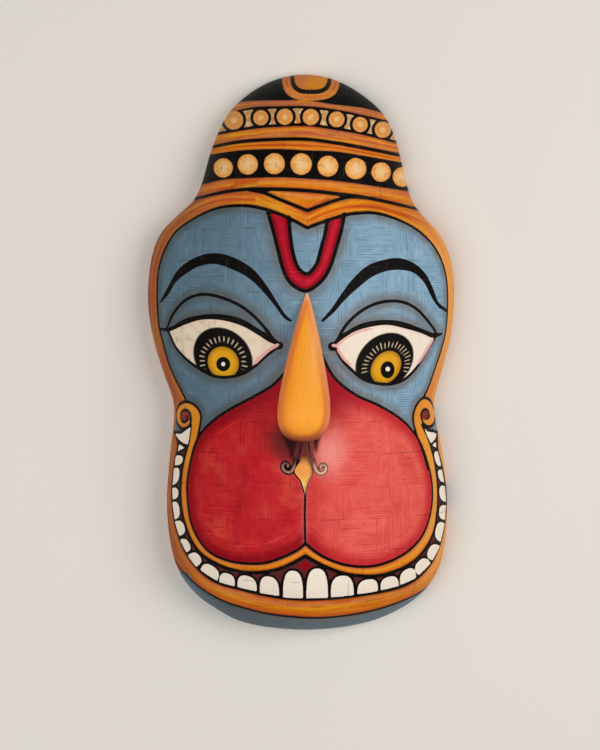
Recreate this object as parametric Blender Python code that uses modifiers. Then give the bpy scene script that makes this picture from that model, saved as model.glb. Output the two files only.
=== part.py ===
"""A face mask moulded from plaited bamboo, with a carved wooden nose glued on its ridge.

Metres. The mask lies face up on its rim: +Z comes out of the face and +Y runs from the chin to the crown.
The origin is on the floor, at the middle of the rim's outline box.
"""

import math

import bmesh
import bpy

# Driving dimensions of the shell.
MASK_HEIGHT = 0.330
MASK_WIDTH = 0.182
MASK_DEPTH = 0.066
WALL = 0.0032

# Driving dimensions of the nose. Its tip's height is measured up from the chin, and the tip leans off the ridge
# to the viewer's right.
NOSE_TIP_HEIGHT = 0.2010
NOSE_LENGTH = 0.0850
NOSE_WIDTH = 0.0300
NOSE_RISE = 0.0270
NOSE_LEAN = 0.0021
GLUE_GAP = 0.0003

# The rim's outline, as the eye runs up the mask from the chin. Each station is a share of the height, then the
# viewer's left and right half-widths, from the ridge, as shares of the width.
OUTLINE_SHARES = (
    (0.008, 0.165, 0.160),
    (0.032, 0.277, 0.293),
    (0.059, 0.349, 0.370),
    (0.100, 0.410, 0.430),
    (0.151, 0.441, 0.458),
    (0.198, 0.452, 0.466),
    (0.270, 0.451, 0.462),
    (0.324, 0.442, 0.449),
    (0.378, 0.431, 0.429),
    (0.414, 0.433, 0.423),
    (0.468, 0.467, 0.448),
    (0.522, 0.496, 0.474),
    (0.576, 0.513, 0.486),
    (0.630, 0.513, 0.487),
    (0.684, 0.497, 0.467),
    (0.720, 0.466, 0.431),
    (0.747, 0.418, 0.384),
    (0.774, 0.366, 0.350),
    (0.805, 0.338, 0.332),
    (0.846, 0.317, 0.314),
    (0.900, 0.281, 0.284),
    (0.936, 0.242, 0.245),
    (0.972, 0.166, 0.164),
)

# The side view of the ridge: a share of the height, then the ridge's height over the rim as a share of the depth.
RIDGE_SHARES = (
    (0.020, 0.500),
    (0.050, 0.710),
    (0.100, 0.890),
    (0.180, 0.990),
    (0.270, 1.000),
    (0.400, 0.970),
    (0.520, 0.950),
    (0.640, 0.915),
    (0.760, 0.830),
    (0.850, 0.720),
    (0.910, 0.600),
    (0.960, 0.430),
)

# A section across the shell runs as (1 - s ** RIDGE_POWER) ** (1 / FLANK_POWER), where s is the share of the
# half-width. A ridge power under 2 leaves a soft ridge down the middle, with flatter flanks beside it.
RIDGE_POWER = 1.55
FLANK_POWER = 2.1

# Facets of the shell from rim to rim and from chin to crown, and of the nose.
SHELL_COLUMNS = 30
SHELL_ROWS = 50
NOSE_SIDES = 32
NOSE_RINGS = 22

# The shell is moulded this far past the rim plane, and then cut off flat.
TRIM = 0.006

# The nose's section is a rounded box of this power, which leaves its front nearly flat. Its width grows from the
# tip with the taper's power of its length, and its lower end rounds off with these powers.
NOSE_SECTION_POWER = 4.0
NOSE_TAPER = 0.78
NOSE_END_POWER = 8
NOSE_RISE_POWER = 7
NOSE_BURIED = 0.010


def end_round(share):
    """A circle's half-width at a share of its height, which gives the crown and the chin their round ends."""
    return 2.0 * math.sqrt(max(share * (1.0 - share), 0.0))


def along(stations, column, share):
    """A smooth curve through one column of the stations, drawn out from the round ends."""
    gauges = [(row[0], row[column] / end_round(row[0])) for row in stations]
    if share <= gauges[0][0]:
        return gauges[0][1] * end_round(share)
    if share >= gauges[-1][0]:
        return gauges[-1][1] * end_round(share)
    upper = next(i for i in range(1, len(gauges)) if gauges[i][0] >= share)
    (x0, y0), (x1, y1) = gauges[upper - 1], gauges[upper]
    before = gauges[max(upper - 2, 0)]
    after = gauges[min(upper + 1, len(gauges) - 1)]
    step = x1 - x0
    slope0 = (y1 - before[1]) / (x1 - before[0])
    slope1 = (after[1] - y0) / (after[0] - x0)
    t = (share - x0) / step
    value = (
        (2 * t**3 - 3 * t**2 + 1) * y0
        + (t**3 - 2 * t**2 + t) * step * slope0
        + (3 * t**2 - 2 * t**3) * y1
        + (t**3 - t**2) * step * slope1
    )
    return value * end_round(share)


def widest(column):
    """The largest half-width on one side, in metres."""
    return MASK_WIDTH * max(along(OUTLINE_SHARES, column, i / 400) for i in range(401))


# The ridge stands off the box's middle, because the viewer's left cheek is the wider one.
RIDGE_X = (widest(1) - widest(2)) / 2


def half_width(share, side):
    """The rim's distance from the ridge; side is -1 for the viewer's left and 1 for the right."""
    return MASK_WIDTH * along(OUTLINE_SHARES, 1 if side < 0 else 2, share)


def ridge_height(share):
    """The ridge's height over the rim."""
    return MASK_DEPTH * along(RIDGE_SHARES, 1, share)


def skin_point(across, up, grow=0.0):
    """A point of the moulded skin. across runs from -1 to 1 between the rims, and up from 0 to 1, chin to crown.

    grow swells the skin outwards by about that distance.
    """
    share = (1.0 - math.cos(math.pi * up)) / 2.0
    side = math.sin(abs(across) * math.pi / 2.0)
    sign = -1 if across < 0 else 1
    lift = max(1.0 - side**RIDGE_POWER, 0.0) ** (1.0 / FLANK_POWER)
    lengthwise = (share - 0.5) * (MASK_HEIGHT + 2.0 * grow)
    x = RIDGE_X + sign * side * (half_width(share, sign) + grow)
    return x, lengthwise, lift * (ridge_height(share) + grow)


def new_object(name, mesh_builder, collection):
    """One object whose mesh is made in bmesh."""
    mesh = bpy.data.meshes.new(name)
    bm = bmesh.new()
    mesh_builder(bm)
    bm.to_mesh(mesh)
    bm.free()
    made = bpy.data.objects.new(name, mesh)
    collection.objects.link(made)
    return made


def skin(bm, grow, trim):
    """The moulded skin as an open sheet: a grid bent over the mould, with a strip that hangs under the rim plane."""
    bmesh.ops.create_grid(bm, x_segments=SHELL_COLUMNS + 2, y_segments=SHELL_ROWS, size=1.0)
    last = 1.0 + 2.0 / SHELL_COLUMNS
    for vertex in bm.verts:
        across = vertex.co.x * last
        up = (vertex.co.y + 1.0) / 2.0
        inside = max(-1.0, min(1.0, across))
        x, y, z = skin_point(inside, up, grow)
        if abs(across) > 1.0 + 0.5 / SHELL_COLUMNS:
            z = -trim
        vertex.co = (x, y, z)
    bmesh.ops.remove_doubles(bm, verts=bm.verts[:], dist=1e-6)
    bmesh.ops.recalc_face_normals(bm, faces=bm.faces[:])
    top = max(bm.faces, key=lambda face: face.calc_center_median().z)
    if top.normal.z < 0.0:
        bmesh.ops.reverse_faces(bm, faces=bm.faces[:])


def mould(bm):
    """The solid that the nose is fitted to: the skin, swelled by the glue's gap and closed underneath."""
    skin(bm, GLUE_GAP, TRIM)
    bmesh.ops.holes_fill(bm, edges=[edge for edge in bm.edges if edge.is_boundary], sides=0)
    bmesh.ops.recalc_face_normals(bm, faces=bm.faces[:])


def floor_block(bm):
    """The block that trims the shell flat along its rim."""
    bmesh.ops.create_cube(bm, size=1.0)
    depth = 4.0 * TRIM
    bmesh.ops.scale(bm, vec=(2.0 * MASK_WIDTH, 2.0 * MASK_HEIGHT, depth), verts=bm.verts[:])
    bmesh.ops.translate(bm, vec=(0.0, 0.0, -depth / 2.0), verts=bm.verts[:])


def rounded(angle_part):
    """One coordinate of the nose's rounded-box section."""
    return math.copysign(abs(angle_part) ** (2.0 / NOSE_SECTION_POWER), angle_part)


def swell(share, power, taper=1.0):
    """The nose's growth from its tip, rounding off at its end, as a share of its largest."""
    peak = (2.0 * taper / (2.0 * taper + power)) ** (1.0 / power)
    most = peak**taper * math.sqrt(1.0 - peak**power)
    return share**taper * math.sqrt(max(1.0 - share**power, 0.0)) / most


def nose_form(bm):
    """The carved nose before it is fitted: a sphere drawn out from a tip on the brow to a round end on the lip."""
    bmesh.ops.create_uvsphere(bm, u_segments=NOSE_SIDES, v_segments=NOSE_RINGS, radius=1.0)
    for vertex in bm.verts:
        share = (1.0 - vertex.co.z) / 2.0
        turn = math.atan2(vertex.co.y, vertex.co.x)
        at_pole = abs(vertex.co.z) > 0.9999
        width = 0.0 if at_pole else swell(share, NOSE_END_POWER, NOSE_TAPER) * NOSE_WIDTH / 2.0
        rise = 0.0 if at_pole else swell(share, NOSE_RISE_POWER) * NOSE_RISE
        height = NOSE_TIP_HEIGHT - share * NOSE_LENGTH
        depth = rise if math.sin(turn) > 0.0 else NOSE_BURIED
        z = ridge_height(height / MASK_HEIGHT) + rounded(math.sin(turn)) * depth
        axis = RIDGE_X + NOSE_LEAN * (1.0 - share)
        vertex.co = (axis + rounded(math.cos(turn)) * width, height - MASK_HEIGHT / 2.0, z)
    bmesh.ops.recalc_face_normals(bm, faces=bm.faces[:])


def cut(target, cutter):
    """A Boolean cut with a hidden cutter."""
    modifier = target.modifiers.new("cut", "BOOLEAN")
    modifier.operation = "DIFFERENCE"
    modifier.solver = "EXACT"
    modifier.object = cutter
    cutter.hide_render = True
    cutter.display_type = "WIRE"


def painted(name, colour, roughness):
    """A plain painted finish."""
    material = bpy.data.materials.new(name)
    material.use_nodes = True
    shader = material.node_tree.nodes["Principled BSDF"]
    shader.inputs["Base Color"].default_value = (*colour, 1.0)
    shader.inputs["Roughness"].default_value = roughness
    shader.inputs["Metallic"].default_value = 0.0
    return material


def smooth(target, sharp_over):
    """Round surfaces shaded smooth, with the trimmed edges left sharp."""
    target.data.shade_smooth()
    target.data.set_sharp_from_angle(angle=sharp_over)


def make_shell(parts, cutters):
    """The plaited shell: the skin thickened inwards and trimmed flat at the rim."""
    shell = new_object("shell", lambda bm: skin(bm, 0.0, TRIM), parts)
    wall = shell.modifiers.new("wall", "SOLIDIFY")
    wall.thickness = WALL
    wall.offset = -1.0
    wall.use_even_offset = True
    wall.use_quality_normals = True
    cut(shell, new_object("floor_block", floor_block, cutters))
    shell.data.materials.append(painted("painted_bamboo", (0.23, 0.36, 0.45), 0.45))
    smooth(shell, math.radians(50))
    return shell


def make_nose(parts, cutters):
    """The carved nose, hollowed behind to sit on the ridge."""
    nose = new_object("nose", nose_form, parts)
    cut(nose, new_object("mould", mould, cutters))
    nose.data.materials.append(painted("painted_wood", (0.80, 0.34, 0.06), 0.38))
    smooth(nose, math.radians(50))
    return nose


def main():
    for leftover in list(bpy.data.objects):
        bpy.data.objects.remove(leftover)
    parts = bpy.data.collections.new("face_mask")
    cutters = bpy.data.collections.new("cutters")
    bpy.context.scene.collection.children.link(parts)
    bpy.context.scene.collection.children.link(cutters)
    make_shell(parts, cutters)
    make_nose(parts, cutters)


main()
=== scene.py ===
"""A painted face mask: a shell moulded from plaited bamboo, and a carved nose glued on its ridge."""

import math

import bpy
import numpy as np
from mathutils import Matrix, Vector


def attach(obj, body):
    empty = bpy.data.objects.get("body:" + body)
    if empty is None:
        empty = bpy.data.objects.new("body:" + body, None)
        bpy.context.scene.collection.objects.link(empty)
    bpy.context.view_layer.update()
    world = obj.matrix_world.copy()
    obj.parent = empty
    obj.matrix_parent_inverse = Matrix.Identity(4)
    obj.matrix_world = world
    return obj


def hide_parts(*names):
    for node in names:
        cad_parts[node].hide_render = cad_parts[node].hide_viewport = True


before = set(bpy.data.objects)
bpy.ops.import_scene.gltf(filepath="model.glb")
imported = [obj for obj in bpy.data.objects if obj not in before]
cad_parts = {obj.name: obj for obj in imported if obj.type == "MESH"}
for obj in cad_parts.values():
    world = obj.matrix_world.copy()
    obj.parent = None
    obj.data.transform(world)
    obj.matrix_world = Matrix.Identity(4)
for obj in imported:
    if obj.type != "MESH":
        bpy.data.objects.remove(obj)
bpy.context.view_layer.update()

# The form of the mask, as the model of the part gives it, in metres.
MASK_HEIGHT = 0.330
MASK_WIDTH = 0.182
MASK_DEPTH = 0.066
WALL = 0.0032
NOSE_TIP_HEIGHT = 0.2010
NOSE_LENGTH = 0.0850
NOSE_WIDTH = 0.0300
NOSE_RISE = 0.0270
NOSE_LEAN = 0.0021
GLUE_GAP = 0.0003
NOSE_BURIED = 0.010
RIDGE_POWER = 1.55
FLANK_POWER = 2.1
NOSE_SECTION_POWER = 4.0
NOSE_TAPER = 0.78
NOSE_END_POWER = 8
NOSE_RISE_POWER = 7

# The rim's outline: a share of the height, then the left and right half-widths as shares of the width.
OUTLINE_SHARES = (
    (0.008, 0.165, 0.160), (0.032, 0.277, 0.293), (0.059, 0.349, 0.370), (0.100, 0.410, 0.430),
    (0.151, 0.441, 0.458), (0.198, 0.452, 0.466), (0.270, 0.451, 0.462), (0.324, 0.442, 0.449),
    (0.378, 0.431, 0.429), (0.414, 0.433, 0.423), (0.468, 0.467, 0.448), (0.522, 0.496, 0.474),
    (0.576, 0.513, 0.486), (0.630, 0.513, 0.487), (0.684, 0.497, 0.467), (0.720, 0.466, 0.431),
    (0.747, 0.418, 0.384), (0.774, 0.366, 0.350), (0.805, 0.338, 0.332), (0.846, 0.317, 0.314),
    (0.900, 0.281, 0.284), (0.936, 0.242, 0.245), (0.972, 0.166, 0.164),
)

# The ridge seen from the side: a share of the height, then its height over the rim as a share of the depth.
RIDGE_SHARES = (
    (0.020, 0.500), (0.050, 0.710), (0.100, 0.890), (0.180, 0.990), (0.270, 1.000), (0.400, 0.970),
    (0.520, 0.950), (0.640, 0.915), (0.760, 0.830), (0.850, 0.720), (0.910, 0.600), (0.960, 0.430),
)

# How fine the meshes are, and the lines that their lengths are measured along.
SKIN_COLUMNS = 232
SKIN_ROWS = 396
BACK_COLUMNS = 60
BACK_ROWS = 99
NOSE_SIDES = 96
NOSE_RINGS = 110
SEAT_COLUMNS = 60
SEAT_ROWS = 110
RIDGE_STEPS = 4001
SECTION_STEPS = 601
NOSE_STEPS = 200

# How far the skin dips between the patches of the plait.
PATCH_DIP = 0.00007

# A patch of the plait, across and up, in millimetres, the slope at its edge, and how far each row of
# patches is moved on from the last, as a share of a patch.
PATCH = (23.0, 18.5)
PATCH_SLOPE = 1.8
ROW_OFFSET = 0.618

# The width of one strip of the plait, in millimetres.
STRIP = 1.35

# The relief fades out towards the rim over this height, and points lower than the second one keep theirs.
RELIEF_FADE = 0.006
RIM_KEPT = 0.0015

# The paint lies this far inside the form's own surface, so that the relief never stands proud of it.
PAINT_DEPTH = 0.00012

# The visual rim and nose stand this far inside the form's own outlines, as the part's facets do.
RIM_INSET = 0.00016
NOSE_INSET = 0.00012

# The camera looks down on the mask, a little from the crown and from the viewer's right. The pixels are the
# mask's height in the photograph, the column of its ridge and the row of its chin.
CAMERA_DISTANCE = 1.25
CAMERA_YAW = math.radians(1.0)
CAMERA_LIFT = math.radians(2.0)
PHOTO_SIZE = (600, 750)
MASK_PIXELS = 553.2
METRES_PER_PIXEL = MASK_HEIGHT / MASK_PIXELS
RIDGE_PIXEL = 305.0
CHIN_PIXEL = 629.4
SENSOR = 36.0

# How often the gap between the camera and the skin is halved to find a pixel's place on the skin.
HALVINGS = 40

# Edges sharper than this stay sharp.
SMOOTH_ANGLE = math.radians(50)

# Paint outlines, as points (x, y) of the 600 x 750 photograph. Each is a smooth line through its points.
BAND_1_TOP = (
    (228, 105), (240, 101.6), (279, 100.2), (307, 100.4), (335, 104.4), (363, 107.9), (380, 112), (396, 116),
)
BEADS_TOP = ((222, 115), (251, 108.4), (279, 107.3), (307, 107.3), (335, 110.5), (363, 116), (402, 125))
BEADS_FOOT = ((208, 135), (251, 127.6), (274, 125.6), (307, 124.6), (335, 128.4), (363, 133.3), (408, 145))
BAND_2_FOOT = ((202, 149), (237, 142), (272, 139.4), (307, 139.2), (335, 142.7), (363, 147.6), (412, 157.5))
DOTS_TOP = ((198, 156.5), (237, 150.7), (279, 149), (307, 150.3), (335, 151.4), (363, 155.6), (416, 165))
DOTS_FOOT = (
    (186, 189), (223, 179.6), (251, 178), (279, 177.3), (307, 178.7), (335, 180.8), (363, 184.4), (420, 193),
)
BAND_4_FOOT = (
    (182, 202), (216, 193.5), (237, 190), (265, 189), (307, 190.6), (335, 193.5), (363, 197), (391, 202.6),
    (428, 211.5),
)
V_LEFT = ((250, 190), (264, 192.8), (279, 199.1), (293, 204.7), (307.5, 210.5))
V_RIGHT = ((307.5, 210.5), (321, 205.4), (335, 200.5), (350, 197), (364, 197.6))
FACE_LEFT = (
    (186, 401), (181, 391), (174, 377), (167.5, 361), (163, 344), (159, 328), (157, 306), (156.8, 292),
    (158.3, 270), (164.5, 249.5), (176, 231), (190, 220.5), (205, 212.5), (221, 207), (247.5, 205.8),
    (265, 209.2), (286.5, 217), (307.3, 227.8),
)
FACE_RIGHT = (
    (307.3, 227.8), (320, 223), (345, 215), (359, 213), (375, 213), (394, 218), (414, 227.5), (429, 240),
    (439, 254), (445, 270), (447.5, 286), (448, 305), (446, 332), (441, 352), (434.5, 371), (429, 387),
    (423.5, 398),
)
U_OUTER = (
    (267.5, 211), (273, 230), (278, 250), (283, 269), (289, 281), (297, 288), (306, 291), (313, 288),
    (324, 278), (331, 265), (336, 249), (341.5, 230), (344.5, 214),
)
U_INNER = (
    (288.5, 217), (291, 241), (294, 257), (299, 269), (307, 274), (316, 265), (321, 249), (325, 234),
    (327.5, 220),
)
LEFT_BROW_TOP = (
    (158, 304.5), (167, 288), (177.5, 270), (190, 260), (207, 253.6), (223, 254), (239, 260), (254, 270),
    (267, 286), (279, 305), (286, 315), (293, 321),
)
LEFT_BROW_FOOT = (
    (158, 305), (167, 296), (176, 282), (187, 273), (200, 266), (215, 264), (231, 269), (247, 277),
    (260.5, 289), (274, 305), (285, 319), (292, 322.5),
)
RIGHT_BROW_TOP = (
    (321, 320.5), (331, 309), (340, 296), (351, 281), (367, 266), (383, 260), (399, 258), (414, 263),
    (426, 274), (434, 290), (439, 302.5), (448, 309.5),
)
RIGHT_BROW_FOOT = (
    (322.5, 322.5), (333.5, 313), (344, 301), (358, 288), (372, 277), (387, 271), (402, 270), (414, 273),
    (424.5, 283), (432, 297.5), (439, 307.5), (448, 313),
)
LEFT_CREASE = (
    (167, 327), (173.5, 313), (184, 301), (198, 294.8), (210, 294.8), (227, 299.5), (244.5, 308.5),
    (260.5, 323), (273, 338),
)
RIGHT_CREASE = (
    (337.5, 339), (347, 324), (360, 312), (375, 304), (391, 301), (406, 303), (418, 310), (429, 322),
    (437, 333),
)
LEFT_LID_TOP = (
    (159, 328), (170, 327), (184, 319), (200, 315), (220, 314), (242, 319), (260.5, 330), (274, 338),
    (281, 343.5),
)
LEFT_LID_FOOT = (
    (159, 329.5), (168, 331.5), (184, 325), (200, 320), (220, 320), (242, 326), (258, 335), (269, 342),
    (281, 346),
)
RIGHT_LID_TOP = (
    (333, 343.5), (337, 338), (347, 331), (360, 324), (380, 320), (400, 321), (418, 327), (434, 333),
    (443, 332.5),
)
RIGHT_LID_FOOT = (
    (333, 346), (340, 341), (354, 332), (370, 327), (388, 325), (407, 329), (421, 333), (434, 338),
    (443, 334.5),
)
LEFT_EYE_FOOT = (
    (168, 331.5), (176, 348), (187, 360), (198, 368), (212, 375.5), (226, 377.3), (242, 374), (255, 366),
    (267, 355), (279, 346.5),
)
RIGHT_EYE_FOOT = (
    (335.5, 348), (341.5, 359), (354, 372), (364, 379.5), (378, 383.6), (391, 384), (404.5, 379.5),
    (416.5, 368), (426, 353), (435, 339),
)
LEFT_LOBE = (
    (303, 352), (281, 377), (273, 385), (251, 398), (226, 411.5), (208, 425), (199, 436), (193.5, 448),
    (190, 463), (187, 483), (187.5, 500), (190.5, 521), (196, 535), (206, 549), (215, 555.5), (230.5, 561.3),
    (247.5, 563.6), (265, 563), (282, 557.5), (299, 549), (305.5, 543.5),
)
RIGHT_LOBE = (
    (318, 346), (326, 363.5), (330.5, 372), (337, 380.5), (356, 395), (381, 406.5), (404, 421.5), (419, 440),
    (428, 463), (432.5, 486), (431.5, 509), (424, 533), (411, 549), (391, 561), (370, 566.5), (346, 565),
    (328, 559), (315, 551.5), (305.5, 543.5),
)
MIDLINE = ((305.3, 491), (304.7, 520), (305.5, 545))
LEFT_LIP = (
    (190.5, 425), (188.5, 441), (184, 458), (181, 475), (180.3, 500), (184, 522), (192.5, 543), (202, 555),
    (214.5, 563), (230.5, 569.5), (247.5, 572.5), (265, 572), (282, 568), (296, 561.5), (305.5, 556),
)
RIGHT_LIP = (
    (305.5, 556), (315.5, 562), (330.5, 569), (346, 574), (361, 576), (376.5, 576), (392, 572.5), (407, 566),
    (417.5, 558.5), (428, 545), (434, 532), (437.5, 512), (438, 486), (435, 462), (429.5, 441), (422.5, 425),
)
LEFT_TEETH_FOOT = (
    (174.5, 432), (177.5, 445), (175, 458), (172, 479.5), (171.5, 503), (174, 521), (178.5, 537), (186, 554),
    (200, 571.5), (217, 583), (238, 589), (260, 594.5), (283, 598.5), (306, 600),
)
RIGHT_TEETH_FOOT = (
    (306, 600), (328, 599), (355, 596.5), (380, 592.5), (399, 588), (416.5, 579.5), (431, 564.5),
    (439.5, 548), (445, 527), (447.3, 506), (446.5, 486), (443, 467), (438.5, 448), (438, 431),
)
CHIN_LINE = (
    (160, 530), (164, 540), (172, 556), (182, 571), (201.5, 589), (226, 602.5), (240, 607), (265, 613.5),
    (298, 617.5), (323, 618), (348, 615.5), (370, 611.5), (389.5, 606), (413, 596.5), (428, 587), (439, 574),
    (448, 556), (452, 540),
)
LEFT_SCROLL = (
    (190, 463), (193, 451), (195.7, 444), (198, 435), (200.2, 423), (200.8, 417.6), (199.8, 412),
    (195.7, 406.3), (190.6, 402.8), (185, 401.7), (179.4, 404.3), (176.8, 409), (175.8, 415.5),
    (176.8, 422.7), (179.4, 426.7), (182.4, 428.8), (186.5, 427.8), (189.6, 424.7), (190.6, 418.6),
    (189.1, 412.4), (185.5, 410), (181.4, 412), (180.4, 416.5), (181.9, 421), (184.5, 422), (187, 419.6),
    (186.5, 416.5),
)
RIGHT_SCROLL = (
    (428.4, 469.6), (423.8, 453.8), (420.7, 445), (417.7, 437.4), (415.6, 430.3), (413.6, 422.7),
    (413.4, 415.5), (415.1, 408.4), (418.7, 402.2), (423.3, 398), (428.5, 398.8), (432, 403), (434.5, 411),
    (435.3, 418), (433.8, 424), (430.5, 426.5), (426, 425.5), (422.8, 421), (421.5, 415.5), (422.8, 411),
    (425.8, 409.3), (428.9, 411.4), (429.6, 415.5), (427.9, 418.3),
)
LEFT_BAND_FOOT = (
    (190.6, 425.2), (190.1, 430.8), (188.6, 439), (187.5, 445.1), (185.5, 451.2), (183.5, 462),
)
RIGHT_BAND_FOOT = (
    (421, 422.7), (423.8, 427.8), (426.8, 434.9), (429.9, 443.1), (432.4, 449.7), (434.5, 458.9),
    (435.8, 468),
)
LEFT_FANG_TOP = ((173.5, 431.5), (180.4, 432.3), (184.5, 430.8), (190, 426))
RIGHT_FANG_TOP = ((424, 427.5), (428.5, 431), (433, 430.5), (438, 431.5))
LEFT_CURL = (
    (299.5, 439), (297.8, 450), (295.8, 459), (294.2, 466), (292.2, 470.6), (288.6, 472.6), (284.4, 470.6),
    (282.4, 466.6), (284.2, 463), (287.4, 463.6), (288.2, 466.4),
)
RIGHT_CURL = (
    (310.6, 439), (311.8, 449), (313.4, 459), (315.2, 468), (317.4, 472), (320.6, 473.6), (324.6, 472),
    (326.4, 468.6), (325, 465.2), (321.8, 464.8), (320.6, 467.2),
)
LOZENGE_LEFT = ((304.2, 440), (303.2, 451), (300.2, 461), (294.6, 471.6), (300.8, 480.5), (305.2, 494))
LOZENGE_RIGHT = ((305.2, 494), (307.6, 483), (312, 473), (309, 462), (306.6, 451), (306, 440))

# Edges of the bands that run along or past the rim, and the inner edges of the red behind the nose.
LEFT_RIM = (
    (170, 428), (168, 404), (163, 385), (157, 362), (151, 335), (148, 300), (149, 270), (156, 243),
    (168, 221), (182, 208), (196, 200),
)
RIGHT_RIM = (
    (428, 213), (440, 226), (449, 246), (454, 270), (454, 300), (451, 335), (444, 365), (438, 390),
    (437, 412), (440, 430),
)
BROW_MIDDLE = ((307.5, 212.5),)
LEFT_GUM = ((169, 430), (167, 455), (166, 480), (166, 505), (168, 525), (173, 545), (182, 565))
RIGHT_GUM = ((441, 430), (444, 450), (447, 475), (449, 500), (449, 525), (446, 545), (440, 565), (430, 583))
LEFT_TEMPLE = ((175, 430), (175.5, 418), (177, 408))
RIGHT_TEMPLE = ((435, 408), (436.5, 420), (437, 430))
LEFT_LOBE_INNER = ((305.3, 491), (305, 420), (303, 352))
RIGHT_LOBE_INNER = ((305.3, 491), (306, 420), (318, 346))
BEHIND_NOSE = ((279, 380), (303, 352), (318, 346), (335, 380), (330, 450), (280, 450))
ABOVE_CROWN = ((420, 60), (180, 60))

# Round paint in the scrolls and at the inner corners of the eyes: (x, y, radius) in the photograph.
SCROLL_CORES = ((185.6, 417.0, 5.2), (425.9, 415.5, 4.6))
EYE_CORNERS = ((279.4, 345.6, 3.9), (332.6, 346.4, 4.6))

# Pink strokes in the eyes: points, width in metres, and the shares of the width at the two ends.
PINK_STROKES = (
    (((253, 364.8), (261, 357.0), (269, 349.8), (278, 344.6)), 0.0020, (0.3, 0.7)),
    (((333, 345.4), (337.5, 346)), 0.0017, None),
    (((337, 345.5), (347, 337.5), (360, 331.3), (374, 328.6)), 0.0013, (1.0, 0.3)),
    (((338, 349.5), (343, 357.5), (352, 366.5)), 0.0016, (1.0, 0.3)),
    (((418, 364), (426, 351.5), (433, 340)), 0.0022, (0.3, 0.8)),
)

# Teeth: the two ends of the base on the gum line, then the tip that points at the lip.
LEFT_TEETH = (
    ((283, 597.5), (303, 598.5), (293, 570.8)), ((259.8, 593), (279.2, 596), (269, 576.6)),
    ((237.3, 587), (256.8, 591.5), (247, 576)), ((219, 582.2), (234.5, 586.5), (227.5, 573.6)),
    ((200, 570), (217, 581), (212.6, 566.4)), ((187.3, 555.5), (196, 567), (199.3, 556)),
    ((179.6, 539.8), (186, 552.4), (189, 543.6)), ((174.5, 521.5), (178.9, 536), (184, 526.5)),
    ((172, 502.2), (174.4, 519.5), (179, 509)), ((172, 487.8), (172.3, 499.3), (178, 493)),
    ((173.6, 468.3), (172.2, 485), (179, 474.6)), ((175.7, 455.5), (174.3, 465.3), (182.4, 460)),
)
RIGHT_TEETH = (
    ((306.5, 598.5), (328, 598), (317.1, 568.6)), ((331, 597.3), (354, 595.3), (341.9, 575.8)),
    ((357.4, 594.3), (378.1, 591.2), (367.9, 579.6)), ((380.9, 590.4), (399, 586), (389, 576.9)),
    ((400.7, 585), (416.5, 578), (407, 569.3)), ((418.9, 575.4), (431.1, 563.2), (418.8, 561.5)),
    ((432.7, 560.6), (440.3, 546), (429, 549.5)), ((440.9, 542), (445, 523.5), (436.2, 529)),
    ((445.3, 520), (446.3, 505.5), (439.4, 511.5)), ((446.3, 502), (445.2, 486), (439.8, 492.5)),
    ((444.6, 482.5), (442.4, 470), (438.6, 475)), ((441.6, 466.3), (438.2, 451.3), (435.2, 458.5)),
)
FANGS = (
    ((174.6, 433.2), (181, 434), (190.3, 427), (187.8, 444.6), (183, 443), (178.2, 439)),
    ((179, 443.9), (184.3, 448), (177.5, 451.2)),
    ((424.4, 427.2), (428, 431.6), (437, 433.4), (435.4, 439), (431.2, 443.2), (427.6, 436)),
    ((431.8, 445), (436.4, 442), (436.4, 447.6)),
)
LIP_DIAMOND = ((297, 566), (305, 561), (313.4, 565.8), (305, 571.2))
PHILTRUM_DARKS = (
    ((282, 436), (298, 436), (296.6, 445), (294.6, 452), (292.4, 460), (290.6, 459), (289.0, 452),
     (286, 445)),
    ((300, 436), (303.6, 436), (302.6, 446), (301.4, 453.5), (298.6, 461.5), (296.9, 463.5), (297.4, 455),
     (299.2, 446)),
    ((306.2, 436), (310, 436), (310.4, 446), (311.2, 455), (313, 463), (310, 460), (308, 453), (306.6, 445)),
    ((312.2, 436), (320, 436), (318.6, 444), (316.4, 452.5), (314.2, 450), (313, 444)),
)

# Beads and dots: (x, y, radius) of their paint, in pixels of the photograph.
BEADS = (
    (233.5, 120, 9.6), (260.7, 117.6, 7.6), (284.8, 116.7, 8.1), (310.8, 117.0, 8.2), (336.7, 119.2, 7.9),
    (360.3, 124.4, 7.6), (383.0, 129.6, 8.2),
)
BEAD_RING = 2.9
DOTS = (
    (223.1, 167.8, 9.6), (247.6, 164.3, 10.2), (274.3, 163.6, 10.5), (301.2, 164.0, 10.7),
    (327.9, 166.1, 10.4), (355.9, 168.6, 10.6), (381.2, 172.0, 9.7), (402.7, 176.9, 9.8),
)
# Beads lie above this height on the mask, and dots below it, in metres from its middle.
DOTS_BELOW = 0.1225

# The ornament on top: its band, its dark ring and its disc, as half-widths and half-heights about one centre,
# the seam between the disc's two halves, and the band's width and a margin round it in metres.
ORNAMENT_CENTRE = (311.0, 74.0)
ORNAMENT_SIZES = ((29.2, 26.2), (20.6, 19.8), (17.0, 15.6))
ORNAMENT_POWER = 3.0
ORNAMENT_SEAM = 308.0
ORNAMENT_BAND_WIDTH = 0.0050
ORNAMENT_MARGIN = 0.001

# The middle of the face, in pixels, from which outlines are drawn out past the rim.
FACE_MIDDLE = (305.0, 390.0)

# Line widths, in metres on the mask.
LINE = 0.0017
FINE_LINE = 0.0013
BOLD_LINE = 0.0020
TOOTH_LINE = 0.0015
LEFT_CURL_BORDER = 0.0009
RIGHT_CURL_BORDER = 0.0006

# How far from its edges the paint is measured, in metres, and how far from a circle's centre, in radii.
REACH = 0.012
FAR_SHARE = 9.0

# A tapered line gains its width within one part in this many of its length.
TAPER = 6

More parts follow.
